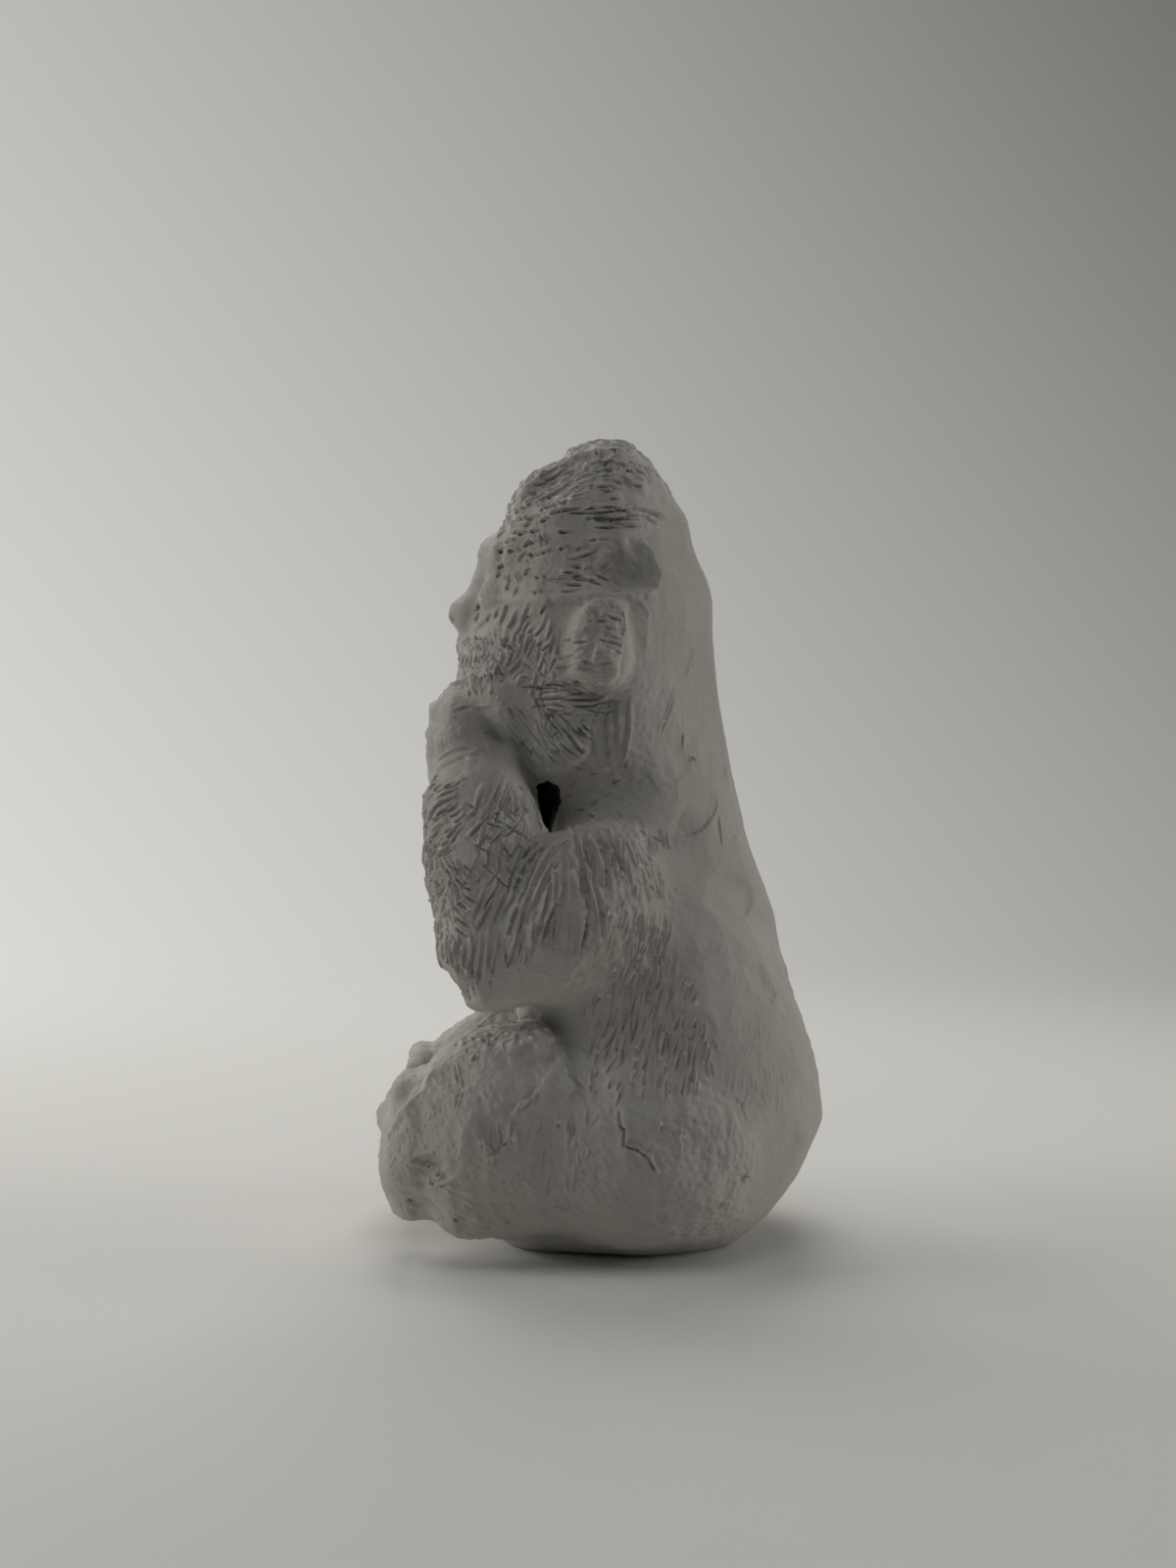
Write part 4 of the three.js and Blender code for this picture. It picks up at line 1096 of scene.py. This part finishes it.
def blend(fraction, first, second):
    """A colour between two, each a socket or a colour."""
    made = nodes.new("ShaderNodeMix")
    made.data_type = "RGBA"
    for socket, value in ((made.inputs[0], fraction), (made.inputs[6], first), (made.inputs[7], second)):
        if isinstance(value, bpy.types.NodeSocket):
            links.new(value, socket)
        else:
            socket.default_value = value
    return made.outputs[2]


def stretch(socket, low, high, to_low, to_high):
    """A value stretched from one range to another."""
    made = nodes.new("ShaderNodeMapRange")
    for name, value in (("From Min", low), ("From Max", high), ("To Min", to_low), ("To Max", to_high)):
        made.inputs[name].default_value = value
    links.new(socket, made.inputs["Value"])
    return made.outputs["Result"]


blotches = blend(stretch(noise(BLOTCH, 3.0), *BLOTCH_RANGE), PALE, DULL)
mottled = blend(stretch(noise(MOTTLE, 4.0), *MOTTLE_RANGE), blotches, DULL)
specked = blend(stretch(noise(SPECK, 2.0), *SPECK_RANGE), mottled, PALE)
scored = nodes.new("ShaderNodeAttribute")
scored.attribute_name = "groove"
# Painted shade: the grooves are made greyer the deeper they are cut.
groove_shaded = blend(stretch(scored.outputs["Fac"], *GROOVE_SHADE_RANGE), specked, GROOVE_SHADE)
crumbed = blend(stretch(scored.outputs["Fac"], *CRUMB_RANGE), groove_shaded, CRUMB)
# Painted shade: the marked hole at the neck is painted nearly black.
hole_shaded = blend(stretch(scored.outputs["Fac"], *HOLE_SHADE_RANGE), crumbed, HOLE_SHADE)
links.new(hole_shaded, shader.inputs["Base Color"])
links.new(stretch(noise(MOTTLE * 2, 3.0), *ROUGH_RANGE), shader.inputs["Roughness"])
grain = nodes.new("ShaderNodeMath")
grain.operation = "MULTIPLY_ADD"
links.new(noise(SPECK, 3.0, TOOTH_ROUGHNESS), grain.inputs[0])
grain.inputs[1].default_value = SPECK_TO_GRAIN
links.new(noise(GRAIN, 2.0, TOOTH_ROUGHNESS), grain.inputs[2])
tooth = nodes.new("ShaderNodeBump")
tooth.inputs["Strength"].default_value = 1.0
tooth.inputs["Distance"].default_value = TOOTH_DEPTH
links.new(grain.outputs["Value"], tooth.inputs["Height"])
links.new(tooth.outputs["Normal"], shader.inputs["Normal"])


# Pieces
# The skin is cut along the seams between the lumps, so that every lump of the figure is a piece of its own.
# A wall goes in under each cut edge, and a sunk cap closes the piece behind it.
CUT_DEPTH = 2.0
CUT_EVEN = 20
CAP_DEPTH = 1.2
CAP_SHARE = 0.4
loop_lump = np.repeat(clay.lump_of_face, clay.sizes)
for name in lump_names:
    number = lump_number[name]
    used, corner = np.unique(clay.loops[loop_lump == number], return_inverse=True)
    sizes = clay.sizes[clay.lump_of_face == number]
    mesh = bpy.data.meshes.new("clay_" + name)
    mesh.vertices.add(len(used))
    mesh.vertices.foreach_set("co", clay.points[used].astype(np.float32).ravel())
    mesh.loops.add(len(corner))
    mesh.loops.foreach_set("vertex_index", corner.astype(np.int32).ravel())
    mesh.polygons.add(len(sizes))
    mesh.polygons.foreach_set("loop_start", np.concatenate(([0], np.cumsum(sizes)[:-1])).astype(np.int32))
    groove = mesh.attributes.new("groove", "FLOAT", "POINT")
    groove.data.foreach_set("value", clay.cut[used].astype(np.float32))
    mesh.update()
    mesh.validate()
    work = bmesh.new()
    work.from_mesh(mesh)
    cut_edges = [edge for edge in work.edges if edge.is_boundary]
    walls = bmesh.ops.extrude_edge_only(work, edges=cut_edges)["geom"]
    deep = {item for item in walls if isinstance(item, bmesh.types.BMVert)}
    above = {}
    for vert in deep:
        beside = [edge.other_vert(vert) for edge in vert.link_edges]
        above[vert] = next(other.index for other in beside if other not in deep)
    deep_edges = [edge for edge in work.edges if edge.is_boundary]
    caps = bmesh.ops.holes_fill(work, edges=deep_edges, sides=0)["faces"]
    for cap in caps:
        one, other = cap.edges[0].link_loops
        if one.vert == other.vert:
            cap.normal_flip()
        rim = used[[above[vert] for vert in cap.verts]]
        out = sum(np.roll(clay.normals[rim], shift, axis=0) for shift in range(-CUT_EVEN, CUT_EVEN + 1))
        out = out / np.linalg.norm(out, axis=1)[:, None]
        for vert, place in zip(cap.verts, clay.points[rim] - out * CUT_DEPTH):
            vert.co = place
        middle = clay.points[rim].mean(axis=0)
        radius = np.linalg.norm(clay.points[rim] - middle, axis=1).mean()
        centre = bmesh.ops.poke(work, faces=[cap])["verts"][0]
        sunk = CUT_DEPTH + max(CAP_DEPTH, CAP_SHARE * radius)
        centre.co = middle - clay.normals[rim].mean(axis=0) * sunk
    bmesh.ops.scale(work, verts=work.verts, vec=(MM,) * 3)
    work.to_mesh(mesh)
    facing = np.zeros((len(work.verts), 3), np.float32)
    facing[: len(used)] = clay.normals[used]
    for vert in list(work.verts)[len(used):]:
        facing[vert.index] = vert.normal
    work.free()
    mesh.shade_smooth()
    mesh.normals_split_custom_set_from_vertices(facing)
    piece = bpy.data.objects.new("clay_" + name, mesh)
    bpy.context.collection.objects.link(piece)
    mesh.materials.append(dry_clay)
    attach(piece, "root")
    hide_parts(name)


# Floor and light
# A sheet of pale paper under the figure that fades into the pale room. Soft lamps stand round it, named as
# the camera sees them: the strongest above and behind, weaker ones to both sides and above in front.
FLOOR_RADIUS = 2600 * MM
FLOOR_SIDES = 96
FLOOR_FADE = (170 * MM, 520 * MM)
PAPER = (0.80, 0.795, 0.775, 1)
PAPER_ROUGHNESS = 0.95
PAPER_SHINE = 0.1
paper = bmesh.new()
bmesh.ops.create_circle(paper, cap_ends=True, segments=FLOOR_SIDES, radius=FLOOR_RADIUS)
floor_mesh = bpy.data.meshes.new("paper_floor")
paper.to_mesh(floor_mesh)
paper.free()
floor = bpy.data.objects.new("paper_floor", floor_mesh)
bpy.context.collection.objects.link(floor)
matt_paper = bpy.data.materials.new("matt_paper")
matt_paper.use_nodes = True
nodes, links = matt_paper.node_tree.nodes, matt_paper.node_tree.links
paper_shader = nodes["Principled BSDF"]
paper_shader.inputs["Base Color"].default_value = PAPER
paper_shader.inputs["Roughness"].default_value = PAPER_ROUGHNESS
paper_shader.inputs["Specular IOR Level"].default_value = PAPER_SHINE
reach = nodes.new("ShaderNodeVectorMath")
reach.operation = "LENGTH"
links.new(nodes.new("ShaderNodeTexCoord").outputs["Object"], reach.inputs[0])
fade = nodes.new("ShaderNodeMapRange")
fade.interpolation_type = "SMOOTHERSTEP"
fade.inputs["From Min"].default_value, fade.inputs["From Max"].default_value = FLOOR_FADE
links.new(reach.outputs["Value"], fade.inputs["Value"])
clear = nodes.new("ShaderNodeBsdfTransparent")
edge_mix = nodes.new("ShaderNodeMixShader")
links.new(fade.outputs["Result"], edge_mix.inputs["Fac"])
links.new(paper_shader.outputs["BSDF"], edge_mix.inputs[1])
links.new(clear.outputs["BSDF"], edge_mix.inputs[2])
links.new(edge_mix.outputs["Shader"], nodes["Material Output"].inputs["Surface"])
floor_mesh.materials.append(matt_paper)

LAMP_AIM = Vector((0, 0, 80))
LAMP_TINT = (1.0, 0.985, 0.94)
# Name, place, size and power of each lamp.
LAMPS = [
    ("above_behind", (-420, 0, 620), 420, 1.65),
    ("behind_left", (-480, -480, 450), 420, 1.52),
    ("left", (0, -700, 400), 420, 1.35),
    ("low_left", (0, -750, 150), 300, 0.4),
    ("low_right", (0, 750, 150), 300, 1.3),
    ("right", (0, 700, 400), 420, 0.35),
    ("above_front", (300, 0, 700), 420, 0.7),
]
for name, lamp_place, size, power in LAMPS:
    lamp_data = bpy.data.lights.new(name + "_lamp", "AREA")
    lamp_data.size, lamp_data.energy, lamp_data.color = size * MM, power, LAMP_TINT
    lamp = bpy.data.objects.new(name + "_lamp", lamp_data)
    lamp.location = Vector(lamp_place) * MM
    lamp.rotation_euler = (LAMP_AIM - Vector(lamp_place)).to_track_quat("-Z", "Y").to_euler()
    lamp.visible_camera = False
    bpy.context.collection.objects.link(lamp)

# The camera sees a room that is brightest at the lower left. It lights the figure only a little.
ROOM_TINT = (1.0, 0.99, 0.945)
ROOM_LEVEL = 0.460
ROOM_TO_RIGHT = -0.69
ROOM_TO_TOP = -0.51
ROOM_CLAMP = 0.3
AMBIENT = 0.015
room = bpy.data.worlds.new("pale_room")
bpy.context.scene.world = room
room.use_nodes = True
nodes, links = room.node_tree.nodes, room.node_tree.links


def math_node(operation, first, second):
    """A math node on two sockets or numbers."""
    made = nodes.new("ShaderNodeMath")
    made.operation = operation
    for socket, value in zip(made.inputs, (first, second)):
        if isinstance(value, bpy.types.NodeSocket):
            links.new(value, socket)
        else:
            socket.default_value = value
    return made.outputs["Value"]


heading = nodes.new("ShaderNodeTexCoord").outputs["Generated"]
parts = nodes.new("ShaderNodeSeparateXYZ")
links.new(heading, parts.inputs["Vector"])
level = ROOM_LEVEL
for part, slope in (("Y", ROOM_TO_RIGHT), ("Z", ROOM_TO_TOP)):
    held = math_node("MINIMUM", math_node("MAXIMUM", parts.outputs[part], -ROOM_CLAMP), ROOM_CLAMP)
    level = math_node("ADD", math_node("MULTIPLY", held, slope), level)
seen_room = nodes["Background"]
seen_room.inputs["Color"].default_value = (*ROOM_TINT, 1)
links.new(level, seen_room.inputs["Strength"])
lighting = nodes.new("ShaderNodeBackground")
lighting.inputs["Color"].default_value = (*ROOM_TINT, 1)
lighting.inputs["Strength"].default_value = AMBIENT
ray = nodes.new("ShaderNodeLightPath")
chosen = nodes.new("ShaderNodeMixShader")
links.new(ray.outputs["Is Camera Ray"], chosen.inputs["Fac"])
links.new(lighting.outputs["Background"], chosen.inputs[1])
links.new(seen_room.outputs["Background"], chosen.inputs[2])
links.new(chosen.outputs["Shader"], nodes["World Output"].inputs["Surface"])
bpy.context.scene.view_settings.view_transform = "Standard"
